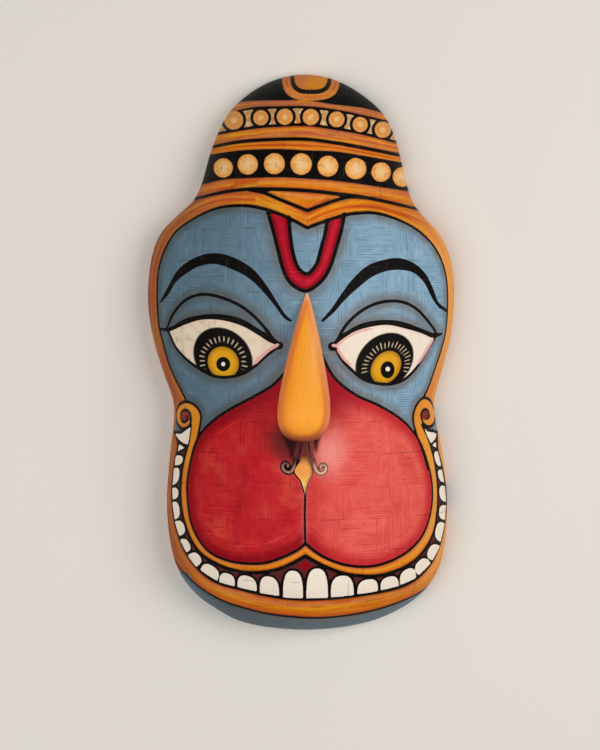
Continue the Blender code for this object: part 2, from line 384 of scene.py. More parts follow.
# How far the bands' edges are looked for, how far the brow bands are drawn out past the rim, and where the
# chin band's ends start out past it, all in pixels.
BAND_REACH = 60.0
BROW_SPREAD = 12.0
CHIN_END = 118.0
CHIN_END_FADE = 10.0
CHIN_END_SPREAD = 14.0

# Where a point counts as lying across its band, from 0 at the upper edge to 1, for the scrolls and for the
# ornament's two halves and its band, and how red these are.
SCROLL_ACROSS = 0.54
# The disc's left half takes a darker colour than its right: painted shade beside the crease at the crown's
# top.
DISC_ACROSS = (0.36, 0.50)
EDGE_ACROSS = (0.24, 0.22)
PLAIN_REDNESS = 0.1

# Paint colours, as linear red, green and blue.
BLUE = (0.262, 0.432, 0.590)
BLUE_DARK = (0.100, 0.205, 0.310)
BLUE_PALE = (0.46, 0.61, 0.72)
# Painted shade for the blue, on the viewer's left.
BLUE_SHADE = (0.070, 0.125, 0.165)
HAZE = (0.175, 0.158, 0.150)
# Painted shade for the grey airbrushing, on the viewer's left.
HAZE_SHADE = (0.085, 0.092, 0.082)
BLACK = (0.0022, 0.0014, 0.0009)
CRIMSON = (0.30, 0.0010, 0.008)
ROSE = (0.60, 0.018, 0.024)
STROKE_LEFT = (0.74, 0.095, 0.050)
U_RED = (0.60, 0.008, 0.036)
# Salmon and coral are the red on the viewer's right: partly its own paint and partly painted sheen.
SALMON = (0.84, 0.125, 0.098)
CORAL = (0.58, 0.026, 0.034)
ORANGE = (0.78, 0.168, 0.006)
GOLD = (0.90, 0.335, 0.014)
BROWN = (0.26, 0.070, 0.022)
RUST = (0.52, 0.068, 0.012)
ROSY_BROWN = (0.50, 0.150, 0.085)
RED_ORANGE = (0.68, 0.125, 0.014)
ROSY_ORANGE = (0.78, 0.235, 0.075)
TAN = (0.56, 0.36, 0.15)
CREAM = (0.95, 0.72, 0.42)
MAROON = (0.105, 0.018, 0.020)
# Painted shadow over dark paint, under the nose's foot.
FOOT_SHADE = (0.085, 0.016, 0.014)
CHIN_GREY = (0.085, 0.098, 0.105)
# Scratches and painted sheen on the black.
SCRATCH_AND_SHEEN = (0.075, 0.070, 0.064)
IVORY = (0.97, 0.87, 0.76)
EYE_WHITE = (0.85, 0.73, 0.57)
PINK = (0.84, 0.46, 0.42)
YELLOW = (0.78, 0.385, 0.010)
IRIS_SHADE = (0.45, 0.20, 0.010)
THREAD_LEFT = (0.68, 0.062, 0.060)
THREAD_RIGHT = (0.92, 0.235, 0.175)
# Painted light on the whites of the eyes, on the viewer's right.
EYE_WHITE_PAINTED_LIGHT = (0.93, 0.83, 0.72)
EYE_TAN = (0.48, 0.36, 0.21)
# Painted shade for the bands on the viewer's left.
BAND_PAINTED_SHADE = (0.25, 0.062, 0.028)
# Painted light for the bands on the right rim.
RIM_PAINTED_LIGHT = (0.98, 0.47, 0.115)
BRIGHT_GOLD = (0.90, 0.43, 0.035)
CORE_RED = (0.26, 0.032, 0.028)
DOT_BROWN = (0.66, 0.29, 0.070)
STEM_DARK = (0.022, 0.0008, 0.0012)
# Pale pink paint with painted sheen, beside the lip ornament.
PALE_PINK_AND_SHEEN = (0.93, 0.38, 0.34)
CURL_LEFT = (0.45, 0.215, 0.145)
CURL_RIGHT = (0.76, 0.48, 0.30)
# Dark paint on the curls' stems and the lozenge's tip under the nose's foot, with a painted shadow over it.
CURL_DARK_LEFT = (0.055, 0.012, 0.016)
CURL_DARK_RIGHT = (0.135, 0.032, 0.026)
SPIKE_DARK = (0.115, 0.014, 0.007)
CURL_EDGE = (0.13, 0.060, 0.048)
NOSE_SIDE_RED = (0.42, 0.004, 0.022)
VIOLET_GREY = (0.40, 0.22, 0.26)
BAMBOO = (0.42, 0.26, 0.11)
BAMBOO_DARK = (0.28, 0.16, 0.06)
BAMBOO_LINE = (0.16, 0.085, 0.03)
BAMBOO_SEAM = (0.06, 0.03, 0.012)
SPECK = (0.03, 0.05, 0.06)
EYE_LINE = (0.50, 0.42, 0.30)
RAYS = (0.56, 0.46, 0.30)
# The nose: painted light for its left and right flanks and painted shade for its foot, then its own paler tip
# and grain.
NOSE_LEFT_PAINTED_LIGHT = (0.98, 0.265, 0.014)
NOSE_RIGHT_PAINTED_LIGHT = (1.0, 0.50, 0.17)
NOSE_FOOT_PAINTED_SHADE = (0.26, 0.045, 0.020)
NOSE_TIP = (0.92, 0.62, 0.36)
NOSE_GRAIN = (0.62, 0.16, 0.008)
FLOOR_COLOUR = (0.80, 0.78, 0.75)
ROOM_COLOUR = (0.96, 0.94, 0.91)

# Runs of paint colours: a position and a colour each.
STRIPED_BAND = (
    (0.0, BROWN), (0.10, RUST), (0.24, ORANGE), (0.38, GOLD), (0.48, ORANGE), (0.56, RUST), (0.66, ORANGE),
    (0.84, GOLD), (1.0, ORANGE),
)
PLAIN_BAND = (
    (0.0, BROWN), (0.12, RED_ORANGE), (0.28, ROSY_ORANGE), (0.52, GOLD), (0.74, ORANGE), (1.0, RUST),
)
BEHIND_BEADS = ((0.3, ORANGE), (0.5, TAN), (0.7, CREAM))
IRIS = ((0.0, YELLOW), (0.70, YELLOW), (1.0, IRIS_SHADE))
BEAD_GOLD = (
    (0.0, (0.94, 0.62, 0.30)), (0.22, (0.92, 0.52, 0.18)), (0.42, (0.82, 0.38, 0.10)),
    (0.66, (0.74, 0.30, 0.070)), (0.82, (0.86, 0.42, 0.12)), (1.0, (0.62, 0.22, 0.05)),
)
DOT_GOLD = (
    (0.0, (0.93, 0.66, 0.36)), (0.45, (0.92, 0.55, 0.22)), (0.78, (0.90, 0.46, 0.13)),
    (1.0, (0.80, 0.30, 0.05)),
)
GILT = ((0.25, (0.86, 0.36, 0.08)), (0.55, (0.95, 0.50, 0.10)), (0.80, (0.95, 0.60, 0.20)))
NOSE_BORDER = (
    (0.0, (0.98, 0.32, 0.130)), (0.12, (0.94, 0.30, 0.105)), (0.25, (0.80, 0.225, 0.050)),
    (0.40, (0.86, 0.25, 0.034)), (0.55, (1.0, 0.37, 0.024)), (1.0, (1.0, 0.40, 0.036)),
)

# Darker paint beside the nose, a painted shadow over dark paint under its foot, and a pale patch
# beside the ornament that is partly pale paint and partly painted sheen: a centre and two half-sizes,
# in pixels of the photograph.
NOSE_SIDES_SHADE = (309.0, 374.0, 64.0, 62.0)
NOSE_FOOT_SHADE = (291.0, 442.0, 31.0, 27.0)
PALE_PAINT_AND_SHEEN = (330.0, 452.0, 27.0, 38.0)

# The eyes: disc, iris, pupil and highlight as centres and half-sizes, and the rays as a centre and the
# two radii between which they run, in pixels of the photograph. The leans are slopes, and the turns are half
# the number of rays that would go all the way round.
EYES = (
    {
        "disc": (222.7, 357.5, 30.2), "disc_lean": -0.17, "iris": (223.2, 362.6, 16.0),
        "iris_lean": -0.06, "pupil": (223.2, 364.1, 7.2), "light": (223.2, 364.1, 2.1),
        "rays": (223.0, 361.2, 19.2, 24.6), "turns": 15.0,
    },
    {
        "disc": (384.8, 361.5, 28.8), "disc_lean": 0.22, "iris": (386.0, 367.4, 15.0, 16.4),
        "iris_lean": 0.21, "pupil": (387.6, 369.8, 7.1, 8.6), "light": (387.8, 369.1, 2.3),
        "rays": (386.2, 366.2, 18.6, 24.4), "turns": 18.0,
    },
)

# The rays end this far round from straight up, in radians.
RAYS_END = 1.95

# The lights: name, place, size, power and colour. They face one point.
LIGHTS = (
    ("key", (1.05, 0.15, 1.20), 0.9, 14.0, (1.0, 0.955, 0.90)),
    ("fill", (-0.75, -0.20, 1.40), 1.1, 11.5, (1.0, 0.965, 0.92)),
)
LIGHT_AIM = (0.0, 0.0, 0.03)
ROOM_STRENGTH = 0.22
FLOOR_SIZE = 6.0


def end_round(share):
    """A circle's half-width at a share of its height."""
    return 2.0 * np.sqrt(np.clip(share * (1.0 - share), 0.0, None))


def along(stations, column, share):
    """A smooth curve through one column of the stations, drawn out from the round ends."""
    table = np.array(stations)
    places = table[:, 0]
    gauges = table[:, column] / end_round(places)
    slopes = np.empty_like(gauges)
    slopes[1:-1] = (gauges[2:] - gauges[:-2]) / (places[2:] - places[:-2])
    slopes[0] = (gauges[1] - gauges[0]) / (places[1] - places[0])
    slopes[-1] = (gauges[-1] - gauges[-2]) / (places[-1] - places[-2])
    held = np.clip(share, places[0], places[-1])
    upper = np.clip(np.searchsorted(places, held), 1, len(places) - 1)
    step = places[upper] - places[upper - 1]
    t = (held - places[upper - 1]) / step
    value = (
        (2 * t**3 - 3 * t**2 + 1) * gauges[upper - 1]
        + (t**3 - 2 * t**2 + t) * step * slopes[upper - 1]
        + (3 * t**2 - 2 * t**3) * gauges[upper]
        + (t**3 - t**2) * step * slopes[upper]
    )
    return value * end_round(share)


WIDEST = [MASK_WIDTH * along(OUTLINE_SHARES, side, np.linspace(0.0, 1.0, 401)).max() for side in (1, 2)]
RIDGE_X = (WIDEST[0] - WIDEST[1]) / 2


def half_width(share, x):
    """The rim's distance from the ridge, on the side that x is on."""
    left = along(OUTLINE_SHARES, 1, share)
    right = along(OUTLINE_SHARES, 2, share)
    return MASK_WIDTH * np.where(x < RIDGE_X, left, right)


def ridge_height(share):
    """The ridge's height over the rim."""
    return MASK_DEPTH * along(RIDGE_SHARES, 1, share)


def skin_height(x, y):
    """The height of the moulded skin over a point of the floor, and none outside the rim."""
    share = np.clip(y / MASK_HEIGHT + 0.5, 0.0, 1.0)
    width = np.maximum(half_width(share, x), 1e-6)
    side = np.clip(np.abs(x - RIDGE_X) / width, 0.0, 1.0)
    return (1.0 - side**RIDGE_POWER) ** (1.0 / FLANK_POWER) * ridge_height(share)


def camera_axes():
    """The camera's place, and its right, up and back directions."""
    back = Vector((
        math.sin(CAMERA_YAW) * math.cos(CAMERA_LIFT),
        math.sin(CAMERA_LIFT),
        math.cos(CAMERA_YAW) * math.cos(CAMERA_LIFT),
    ))
    right = Vector((0.0, 1.0, 0.0)).cross(back).normalized()
    up = back.cross(right)
    aim = Vector((
        RIDGE_X + (PHOTO_SIZE[0] / 2 - RIDGE_PIXEL) * METRES_PER_PIXEL,
        (CHIN_PIXEL - PHOTO_SIZE[1] / 2) * METRES_PER_PIXEL - MASK_HEIGHT / 2,
        0.0,
    ))
    return aim + back * CAMERA_DISTANCE, right, up, back


def on_skin(pixels):
    """The points of the skin that the photograph shows at these pixels, or of the floor beside the mask."""
    place, right, up, back = [np.array(v) for v in camera_axes()]
    pixels = np.asarray(pixels, float)
    across = (pixels[:, :1] - PHOTO_SIZE[0] / 2) * METRES_PER_PIXEL / CAMERA_DISTANCE
    upward = (PHOTO_SIZE[1] / 2 - pixels[:, 1:]) * METRES_PER_PIXEL / CAMERA_DISTANCE
    ray = across * right + upward * up - back
    near = np.full(len(pixels), CAMERA_DISTANCE - MASK_DEPTH * 1.6)
    far = -place[2] / ray[:, 2]
    for _ in range(HALVINGS):
        middle = (near + far) / 2
        point = place + ray * middle[:, None]
        above = point[:, 2] > skin_height(point[:, 0], point[:, 1])
        near = np.where(above, middle, near)
        far = np.where(above, far, middle)
    point = place + ray * far[:, None]
    point[:, 2] = skin_height(point[:, 0], point[:, 1])
    return point


def in_photo(points):
    """The pixels at which the photograph shows these points."""
    place, right, up, back = [np.array(v) for v in camera_axes()]
    offset = points - place
    scale = CAMERA_DISTANCE / METRES_PER_PIXEL / (offset @ back)
    return np.stack(
        (PHOTO_SIZE[0] / 2 - (offset @ right) * scale, PHOTO_SIZE[1] / 2 + (offset @ up) * scale), axis=1,
    )


def through(points, spacing=2.0):
    """A smooth line through the points, as points about that many pixels apart."""
    knots = np.array(points, float)
    before = np.vstack((2 * knots[0] - knots[1], knots[:-2])) if len(knots) > 2 else 2 * knots[:1] - knots[1:]
    after = np.vstack((knots[2:], 2 * knots[-1] - knots[-2])) if len(knots) > 2 else 2 * knots[1:] - knots[:1]
    pieces = []
    for a, b, c, d in zip(before, knots[:-1], knots[1:], after):
        gaps = [max(np.linalg.norm(end - start), 1e-6) ** 0.5 for start, end in ((a, b), (b, c), (c, d))]
        slope_b = ((b - a) / gaps[0] - (c - a) / (gaps[0] + gaps[1]) + (c - b) / gaps[1]) * gaps[1]
        slope_c = ((c - b) / gaps[1] - (d - b) / (gaps[1] + gaps[2]) + (d - c) / gaps[2]) * gaps[1]
        steps = max(int(np.ceil(np.linalg.norm(c - b) / spacing)), 2)
        t = np.linspace(0.0, 1.0, steps, endpoint=False)[:, None]
        pieces.append(
            (2 * t**3 - 3 * t**2 + 1) * b
            + (t**3 - 2 * t**2 + t) * slope_b
            + (3 * t**2 - 2 * t**3) * c
            + (t**3 - t**2) * slope_c
        )
    return np.vstack(pieces + [knots[-1:]])


def ring_of(*lines):
    """One closed outline from several smooth lines, each drawn on from the last."""
    return np.vstack([through(line) for line in lines])


def between(upper, lower):
    """The closed outline between two lines that both run from left to right."""
    return np.vstack((through(upper), through(lower)[::-1]))


def squashed(centre, half_width_px, half_height_px, power):
    """A closed rounded-box outline."""
    turn = np.linspace(0.0, 2 * math.pi, 72, endpoint=False)
    cosine, sine = np.cos(turn), np.sin(turn)
    x = np.sign(cosine) * np.abs(cosine) ** (2 / power) * half_width_px
    y = np.sign(sine) * np.abs(sine) ** (2 / power) * half_height_px
    return np.stack((centre[0] + x, centre[1] + y), axis=1)


def tooth_outline(base_start, base_end, tip):
    """A tooth: straight at its base and arched at its tip."""
    start, end, top = [np.array(p, float) for p in (base_start, base_end, tip)]
    rise = top - (start + end) / 2
    turn = np.linspace(0.0, math.pi, 15)[:, None]
    run = (1 - np.sign(np.cos(turn)) * np.abs(np.cos(turn)) ** 0.8) / 2
    return start + (end - start) * run + rise * np.sin(turn) ** 0.62


class Canvas:
    """The points of the skin that is painted, and their distances from the edges of the paint."""

    def __init__(self, points):
        self.points = points
        self.pixels = in_photo(points)
        self.blank = np.full(len(points), REACH)

    def nearest(self, line, closed=False, reach=REACH, flat=False):
        """The points within reach of a line, how far off they are and how far along. Flat is in pixels."""
        if closed:
            line = np.vstack((line, line[:1]))
        points = self.pixels if flat else self.points
        inside = np.all((points > line.min(0) - reach) & (points < line.max(0) + reach), axis=1)
        chosen = np.flatnonzero(inside)
        place = points[chosen]
        best = np.full(len(chosen), reach**2)
        run = np.zeros(len(chosen))
        travelled = 0.0
        for start, end in zip(line[:-1], line[1:]):
            step = end - start
            length = float(step @ step)
            if length < 1e-14:
                continue
            offset = place - start
            t = np.clip(offset @ step / length, 0.0, 1.0)
            gap = offset - t[:, None] * step
            square = np.einsum("ij,ij->i", gap, gap)
            closer = square < best
            best[closer] = square[closer]
            run[closer] = travelled + t[closer] * math.sqrt(length)
            travelled += math.sqrt(length)
        return chosen, np.sqrt(best), run

    def shape(self, outline, reach=REACH):
        """Signed distance to a closed outline of pixels: under 0 inside it."""
        line = on_skin(outline)
        field = np.full(len(self.points), reach)
        chosen, gap, _ = self.nearest(line, True, reach)
        x, y = self.points[chosen, 0], self.points[chosen, 1]
        within = np.zeros(len(chosen), bool)
        for start, end in zip(line, np.roll(line, -1, axis=0)):
            crosses = (start[1] > y) != (end[1] > y)
            if not crosses.any():
                continue
            at = start[0] + (y - start[1]) * (end[0] - start[0]) / (end[1] - start[1] + 1e-12)
            within ^= crosses & (x < at)
        field[chosen] = np.where(within, -gap, gap)
        return field

    def stroke(self, line, width, ends=None):
        """Signed distance to a painted line of that width. ends are shares of the width at its two ends."""
        track = on_skin(through(line))
        chosen, gap, run = self.nearest(track)
        field = self.blank.copy()
        half = width / 2
        if ends:
            share = run / max(np.linalg.norm(np.diff(track, axis=0), axis=1).sum(), 1e-9)
            half = half * np.minimum(1.0, np.minimum(ends[0] + share * TAPER, ends[1] + (1 - share) * TAPER))
        field[chosen] = gap - half
        return field

    def strokes(self, lines, width, ends=None):
        """The field of several painted lines of one width."""
        return union(*[self.stroke(line, width, ends) for line in lines])

    def circles(self, rounds):
        """How far out from the nearest centre, as a share of that radius, and how far past that edge."""
        share = np.full(len(self.points), FAR_SHARE)
        past = self.blank.copy()
        for x, y, radius in rounds:
            gap = np.hypot(self.pixels[:, 0] - x, self.pixels[:, 1] - y)
            share = np.minimum(share, gap / radius)
            past = np.minimum(past, (gap - radius) * METRES_PER_PIXEL)
        return share, past


def union(*fields):
    """The field of shapes laid together."""
    return np.minimum.reduce(fields)


def spread(line, pixels):
    """The line moved away from the middle of the face, to run past the mask's edge."""
    points = np.array(line, float)
    offset = points - np.array(FACE_MIDDLE)
    return points + offset / np.linalg.norm(offset, axis=1)[:, None] * pixels


def bands(canvas):
    """The orange bands: their field, and how far each point is across and along its band, and how red."""
    brow_left = LEFT_RIM + BAND_4_FOOT[1:4] + V_LEFT[1:3] + BROW_MIDDLE
    brow_right = BROW_MIDDLE + V_RIGHT[1:3] + BAND_4_FOOT[6:8] + RIGHT_RIM
    gums = LEFT_TEETH_FOOT + RIGHT_TEETH_FOOT[1:]
    chin = LEFT_GUM + CHIN_LINE[4:-4] + RIGHT_GUM[::-1]
    laid = (
        (BAND_1_TOP, BEADS_TOP, 0.75),
        (BEADS_FOOT, BAND_2_FOOT, 0.6),
        (BAND_2_FOOT, DOTS_TOP, 0.35),
        (DOTS_FOOT, BAND_4_FOOT, 0.25),
        (BAND_4_FOOT[2:7], V_LEFT + V_RIGHT[1:], 0.1),
        (brow_left, LEFT_TEMPLE + FACE_LEFT, 0.5),
        (brow_right, FACE_RIGHT + RIGHT_TEMPLE, 0.35),
        (LEFT_LOBE[6:], LEFT_LIP[1:], 0.12),
        (RIGHT_LOBE[8:][::-1], RIGHT_LIP[:-1], 0.12),
        (gums, chin, 0.22),
    )
    field = canvas.blank.copy()
    across, run, redness = [np.zeros(len(field)) for _ in range(3)]
    for upper, lower, red in laid:
        on_brow = upper in (brow_left, brow_right)
        wide = spread(through(upper), BROW_SPREAD) if on_brow else through(upper)
        deep = chin_outline(lower) if lower is chin else through(lower)
        patch = canvas.shape(np.vstack((wide, deep[::-1])))
        gaps = []
        travelled = np.zeros(len(field))
        for line in (upper, lower):
            chosen, gap, length = canvas.nearest(through(line), reach=BAND_REACH, flat=True)
            full = np.full(len(field), BAND_REACH)
            full[chosen] = gap
            gaps.append(full)
            if line is upper:
                travelled[chosen] = length
        mine = patch < field
        across[mine] = (gaps[0] / (gaps[0] + gaps[1]))[mine]
        run[mine] = travelled[mine]
        redness[mine] = red
        field = union(field, patch)
    return field, across, run * METRES_PER_PIXEL, redness


def chin_outline(line):
    """The chin band's lower edge, with its two ends drawn out past the rim."""
    points = through(line)
    beside = np.clip((np.abs(points[:, 0] - FACE_MIDDLE[0]) - CHIN_END) / CHIN_END_FADE, 0.0, 1.0)
    return points + (spread(points, CHIN_END_SPREAD) - points) * beside[:, None]


def ornament_across(canvas, ornament, disc):
    """Where the points of the ornament count as lying across a band, in its disc and in its own band."""
    inward = np.clip(-ornament / ORNAMENT_BAND_WIDTH, 0.0, 1.0)
    in_band = EDGE_ACROSS[0] + EDGE_ACROSS[1] * np.abs(2.0 * inward - 1.0)
    # Painted shade: the disc's left half, beside the crown's crease, is darker than its right.
    in_disc = np.where(canvas.pixels[:, 0] > ORNAMENT_SEAM, DISC_ACROSS[1], DISC_ACROSS[0])
    return np.where(disc < 0.0, in_disc, in_band)


def paint(points):
    """Every layer of the paint, as fields over these points of the skin. Distances are in millimetres."""
    canvas = Canvas(points)
    shape, strokes = canvas.shape, canvas.strokes
    band, across, run, redness = bands(canvas)
    scrolls = union(
        shape(ring_of(LEFT_SCROLL[:17], LEFT_BAND_FOOT)),
        shape(ring_of(RIGHT_SCROLL[:17], RIGHT_BAND_FOOT)),
    )
    rounded_boxes = [squashed(ORNAMENT_CENTRE, *size, ORNAMENT_POWER) for size in ORNAMENT_SIZES]
    ornament, ring, disc = [shape(outline) for outline in rounded_boxes]
    in_scroll = scrolls < 0.0
    in_ornament = ornament < ORNAMENT_MARGIN
    across = np.where(in_ornament, ornament_across(canvas, ornament, disc), across)
    across = np.where(in_scroll, SCROLL_ACROSS, across)
    redness = np.where(in_scroll | in_ornament, PLAIN_REDNESS, redness)
    bead_share, bead_gap = canvas.circles(BEADS)
    dot_share, dot_gap = canvas.circles(DOTS)
    tooth = union(
        *[shape(tooth_outline(*corners)) for corners in LEFT_TEETH + RIGHT_TEETH],
        *[shape(np.array(corners)) for corners in FANGS],
    )
    mouth = shape(between(LEFT_LIP + RIGHT_LIP[1:], LEFT_TEETH_FOOT + RIGHT_TEETH_FOOT[1:]))
    red = union(
        shape(ring_of(LEFT_LOBE, MIDLINE[::-1], LEFT_LOBE_INNER)),
        shape(ring_of(RIGHT_LOBE, MIDLINE[::-1], RIGHT_LOBE_INNER)),
        shape(np.array(BEHIND_NOSE)),
        shape(between(U_OUTER, U_INNER)),
    )
    eye = union(
        shape(between(LEFT_LID_FOOT[1:-1], LEFT_EYE_FOOT)),
        shape(between(RIGHT_LID_FOOT[1:-1], RIGHT_EYE_FOOT)),
    )
    lashes = union(
        shape(between(LEFT_LID_TOP, LEFT_LID_FOOT)),
        shape(between(RIGHT_LID_TOP, RIGHT_LID_FOOT)),
        strokes((LEFT_EYE_FOOT, RIGHT_EYE_FOOT), LINE * 1.1),
        canvas.circles(EYE_CORNERS)[1],
    )
    folds = strokes((LEFT_CREASE, RIGHT_CREASE), LINE * 1.1, (0.7, 0.7))
    brows = union(
        shape(between(LEFT_BROW_TOP, LEFT_BROW_FOOT)),
        shape(between(RIGHT_BROW_TOP, RIGHT_BROW_FOOT)),
    )
    face_edge = strokes((FACE_LEFT, FACE_RIGHT), BOLD_LINE)
    u_edge = strokes((U_OUTER, U_INNER), BOLD_LINE * 1.1)
    lobe_edge = strokes((LEFT_LOBE, RIGHT_LOBE), LINE)
    scroll_edge = strokes((LEFT_SCROLL, RIGHT_SCROLL), LINE)
    midline = strokes((MIDLINE,), FINE_LINE)
    crown_lines = union(
        strokes((BEADS_TOP, BEADS_FOOT), LINE * 1.1),
        strokes((BAND_2_FOOT, BAND_4_FOOT), BOLD_LINE * 1.1),
        strokes((V_LEFT, V_RIGHT), BOLD_LINE),
    )
    mouth_lines = union(
        strokes((LEFT_LIP, RIGHT_LIP), LINE * 1.25),
        strokes((LEFT_TEETH_FOOT, RIGHT_TEETH_FOOT), LINE),
        strokes((CHIN_LINE,), LINE * 1.35),
        strokes((LEFT_FANG_TOP, RIGHT_FANG_TOP), FINE_LINE),
    )
    gum_rings = np.maximum(np.maximum(-tooth, tooth - TOOTH_LINE), mouth)
    crown = union(shape(np.vstack((through(BAND_1_TOP), ABOVE_CROWN))), shape(between(DOTS_TOP, DOTS_FOOT)))
    bead_row = shape(between(BEADS_TOP, BEADS_FOOT))
    bead_rings = np.maximum(np.maximum(-bead_gap, bead_gap - BEAD_RING * METRES_PER_PIXEL), bead_row)
    lozenge = shape(ring_of(LOZENGE_LEFT, LOZENGE_RIGHT))
    curls = strokes((LEFT_CURL, RIGHT_CURL), FINE_LINE, (0.6, 1.0))
    lozenge_edge = strokes((LOZENGE_LEFT[2:],), FINE_LINE * 1.25)
    left_curl_edge = strokes((LEFT_CURL[2:],), FINE_LINE) - LEFT_CURL_BORDER
    right_curl_edge = strokes((RIGHT_CURL[2:],), FINE_LINE) - RIGHT_CURL_BORDER
    ink = union(
        lashes, folds, brows, face_edge, u_edge, lobe_edge, scroll_edge, midline, crown_lines, mouth_lines,
        gum_rings, np.maximum(crown, -ornament), bead_rings, np.maximum(ring, -disc), lozenge_edge,
        left_curl_edge,
    )
    hazy_lines = strokes((U_OUTER,), BOLD_LINE), strokes((CHIN_LINE,), LINE)
    layers = {
        "ink": ink,
        "haze": union(lashes, folds, face_edge, lobe_edge, scroll_edge, *hazy_lines),
        "red": red,
        "lobe_edge": union(lobe_edge, u_edge),
        "band": union(np.maximum(band, -mouth), scrolls, ornament),
        "bead_row": bead_row,
        "mouth": np.maximum(mouth, -scrolls),
        "tooth": tooth,
        "diamond": shape(np.array(LIP_DIAMOND)),
        "core": canvas.circles(SCROLL_CORES)[1],
        "eye": eye,
        "bead": union(bead_gap, dot_gap, canvas.blank),
        "lozenge": lozenge,
        "curl": curls,
        "grey_edge": union(strokes((LOZENGE_RIGHT,), FINE_LINE), right_curl_edge),
        "dark": union(*[shape(through(corners + corners[:1])) for corners in PHILTRUM_DARKS]),
        "pink": union(*[strokes((line,), width, ends) for line, width, ends in PINK_STROKES]),
        "pale": union(midline, curls, lozenge),
    }
    layers = {name: field * 1000.0 for name, field in layers.items()}
    layers["bead_share"] = np.minimum(bead_share, dot_share)
    layers["across"] = across
    layers["run"] = run * 1000.0
    layers["redness"] = redness
    return layers


def meridian(rows):
    """Shares of the height at even steps of the ridge's own length, with that length in metres."""
    up = np.linspace(0.0, 1.0, RIDGE_STEPS)
    share = (1.0 - np.cos(math.pi * up)) / 2.0
    steps = np.hypot(np.diff(share * MASK_HEIGHT), np.diff(ridge_height(share)))
    length = np.concatenate(([0.0], np.cumsum(steps)))
    even = np.linspace(0.0, length[-1], rows + 1)
    return np.interp(even, length, share), even


def section(share, grow, columns, side):
    """Half a section of the skin at even steps of its own length, from the ridge to the rim."""
    turn = np.linspace(0.0, math.pi / 2, SECTION_STEPS)
    out = np.sin(turn)
    width = float(half_width(np.array([share]), np.array([RIDGE_X + side]))[0]) + grow
    x = out * max(width, 0.0)
    height = max(float(ridge_height(share)) + grow, 0.0)
    z = np.clip(1.0 - out**RIDGE_POWER, 0.0, None) ** (1.0 / FLANK_POWER) * height
    length = np.concatenate(([0.0], np.cumsum(np.hypot(np.diff(x), np.diff(z)))))
    even = np.linspace(0.0, length[-1], columns + 1)
    return RIDGE_X + side * np.interp(even, length, x), np.interp(even, length, z), side * even


def laid_skin(columns, rows, grow):
    """The skin as rows of points from the chin up, each from the viewer's left rim to the right one."""
    shares, lengths = meridian(rows)
    points = np.zeros((rows + 1, columns + 1, 3))
    place = np.zeros((rows + 1, columns + 1, 3))
    half = columns // 2
    for row, (share, length) in enumerate(zip(shares, lengths)):
        at_pole = row in (0, rows)
        for side, columns_of in ((-1, slice(half, None, -1)), (1, slice(half, None))):
            x, z, run = section(share, grow, half, side)
            if at_pole:
                x, z, run = x * 0 + RIDGE_X, z * 0, run * 0
            points[row, columns_of, 0] = x
            points[row, columns_of, 2] = z
            place[row, columns_of, 0] = run
        points[row, :, 1] = (share - 0.5) * (MASK_HEIGHT + 2 * grow)
        place[row, :, 1] = length
    return points.reshape(-1, 3), place.reshape(-1, 3)


def deselect():
    """Leaves nothing selected."""
    bpy.ops.object.select_all(action="DESELECT")


def only(*objects):
    """Selects these objects alone, with the last one active."""
    deselect()
    for chosen in objects:
        chosen.select_set(True)
    bpy.context.view_layer.objects.active = objects[-1]


def edit(target, action):
    """Runs some edit-mode operators on one object, with everything in it selected."""
    only(target)
    bpy.ops.object.mode_set(mode="EDIT")
    bpy.ops.mesh.select_mode(type="VERT")
    bpy.ops.mesh.select_all(action="SELECT")
    action()
    bpy.ops.object.mode_set(mode="OBJECT")


def move_points(mesh, points):
    """Puts every point of a mesh in its place."""
    mesh.vertices.foreach_set("co", np.asarray(points, np.float32).ravel())
    mesh.update()


def read_points(mesh):
    """The points of a mesh."""
    points = np.empty(len(mesh.vertices) * 3, np.float32)
    mesh.vertices.foreach_get("co", points)
    return points.reshape(-1, 3).astype(float)


def write_attribute(mesh, name, values, kind="FLOAT"):
    """Stores a value at every point of a mesh."""
    stored = mesh.attributes.new(name, kind, "POINT")
    field = "vector" if kind == "FLOAT_VECTOR" else "value"
    stored.data.foreach_set(field, np.ascontiguousarray(values, np.float32).ravel())


def grid_over_mould(name, columns, rows, grow, inset=0.0):
    """A grid bent over the mould, drawn in by the inset at its widest, and its places when laid flat."""
    deselect()
    bpy.ops.mesh.primitive_grid_add(x_subdivisions=columns, y_subdivisions=rows, size=2.0)
    grid = bpy.context.object
    grid.name = name
    grid.data.name = name
    flat = read_points(grid.data)
    column = np.rint((flat[:, 0] + 1) / 2 * columns).astype(int)
    row = np.rint((flat[:, 1] + 1) / 2 * rows).astype(int)
    points, place = laid_skin(columns, rows, grow)
    points[:, 0] = RIDGE_X + (points[:, 0] - RIDGE_X) * (1.0 - inset / (MASK_WIDTH / 2))
    order = row * (columns + 1) + column
    move_points(grid.data, points[order])
    return grid, place[order]


def pull_in(points, depth):
    """Moves points of the skin inwards by their depths, but not past the rim plane."""
    step = 0.0005
    x, y, z = points.T
    slope_x = (skin_height(x + step, y) - skin_height(x - step, y)) / (2 * step)
    slope_y = (skin_height(x, y + step) - skin_height(x, y - step)) / (2 * step)
    normal = np.stack((-slope_x, -slope_y, np.ones_like(x)), axis=1)
    normal /= np.linalg.norm(normal, axis=1)[:, None]
    moved = points - normal * depth[:, None]
    moved[:, 2] = np.where(z < RIM_KEPT, z, np.maximum(moved[:, 2], 0.0))
    return moved


def plait_relief(place):
    """How far the skin dips between the patches of the plait, in metres. place is in millimetres."""
    rows = place[:, 1] / PATCH[1]
    columns = place[:, 0] / PATCH[0] + (np.floor(rows) * ROW_OFFSET) % 1.0
    edge_x = (0.5 - np.abs(columns % 1.0 - 0.5)) * PATCH[0]
    edge_y = (0.5 - np.abs(rows % 1.0 - 0.5)) * PATCH[1]
    return PATCH_DIP * np.clip(1.0 - np.minimum(edge_x, edge_y) / PATCH_SLOPE, 0.0, 1.0) ** 2


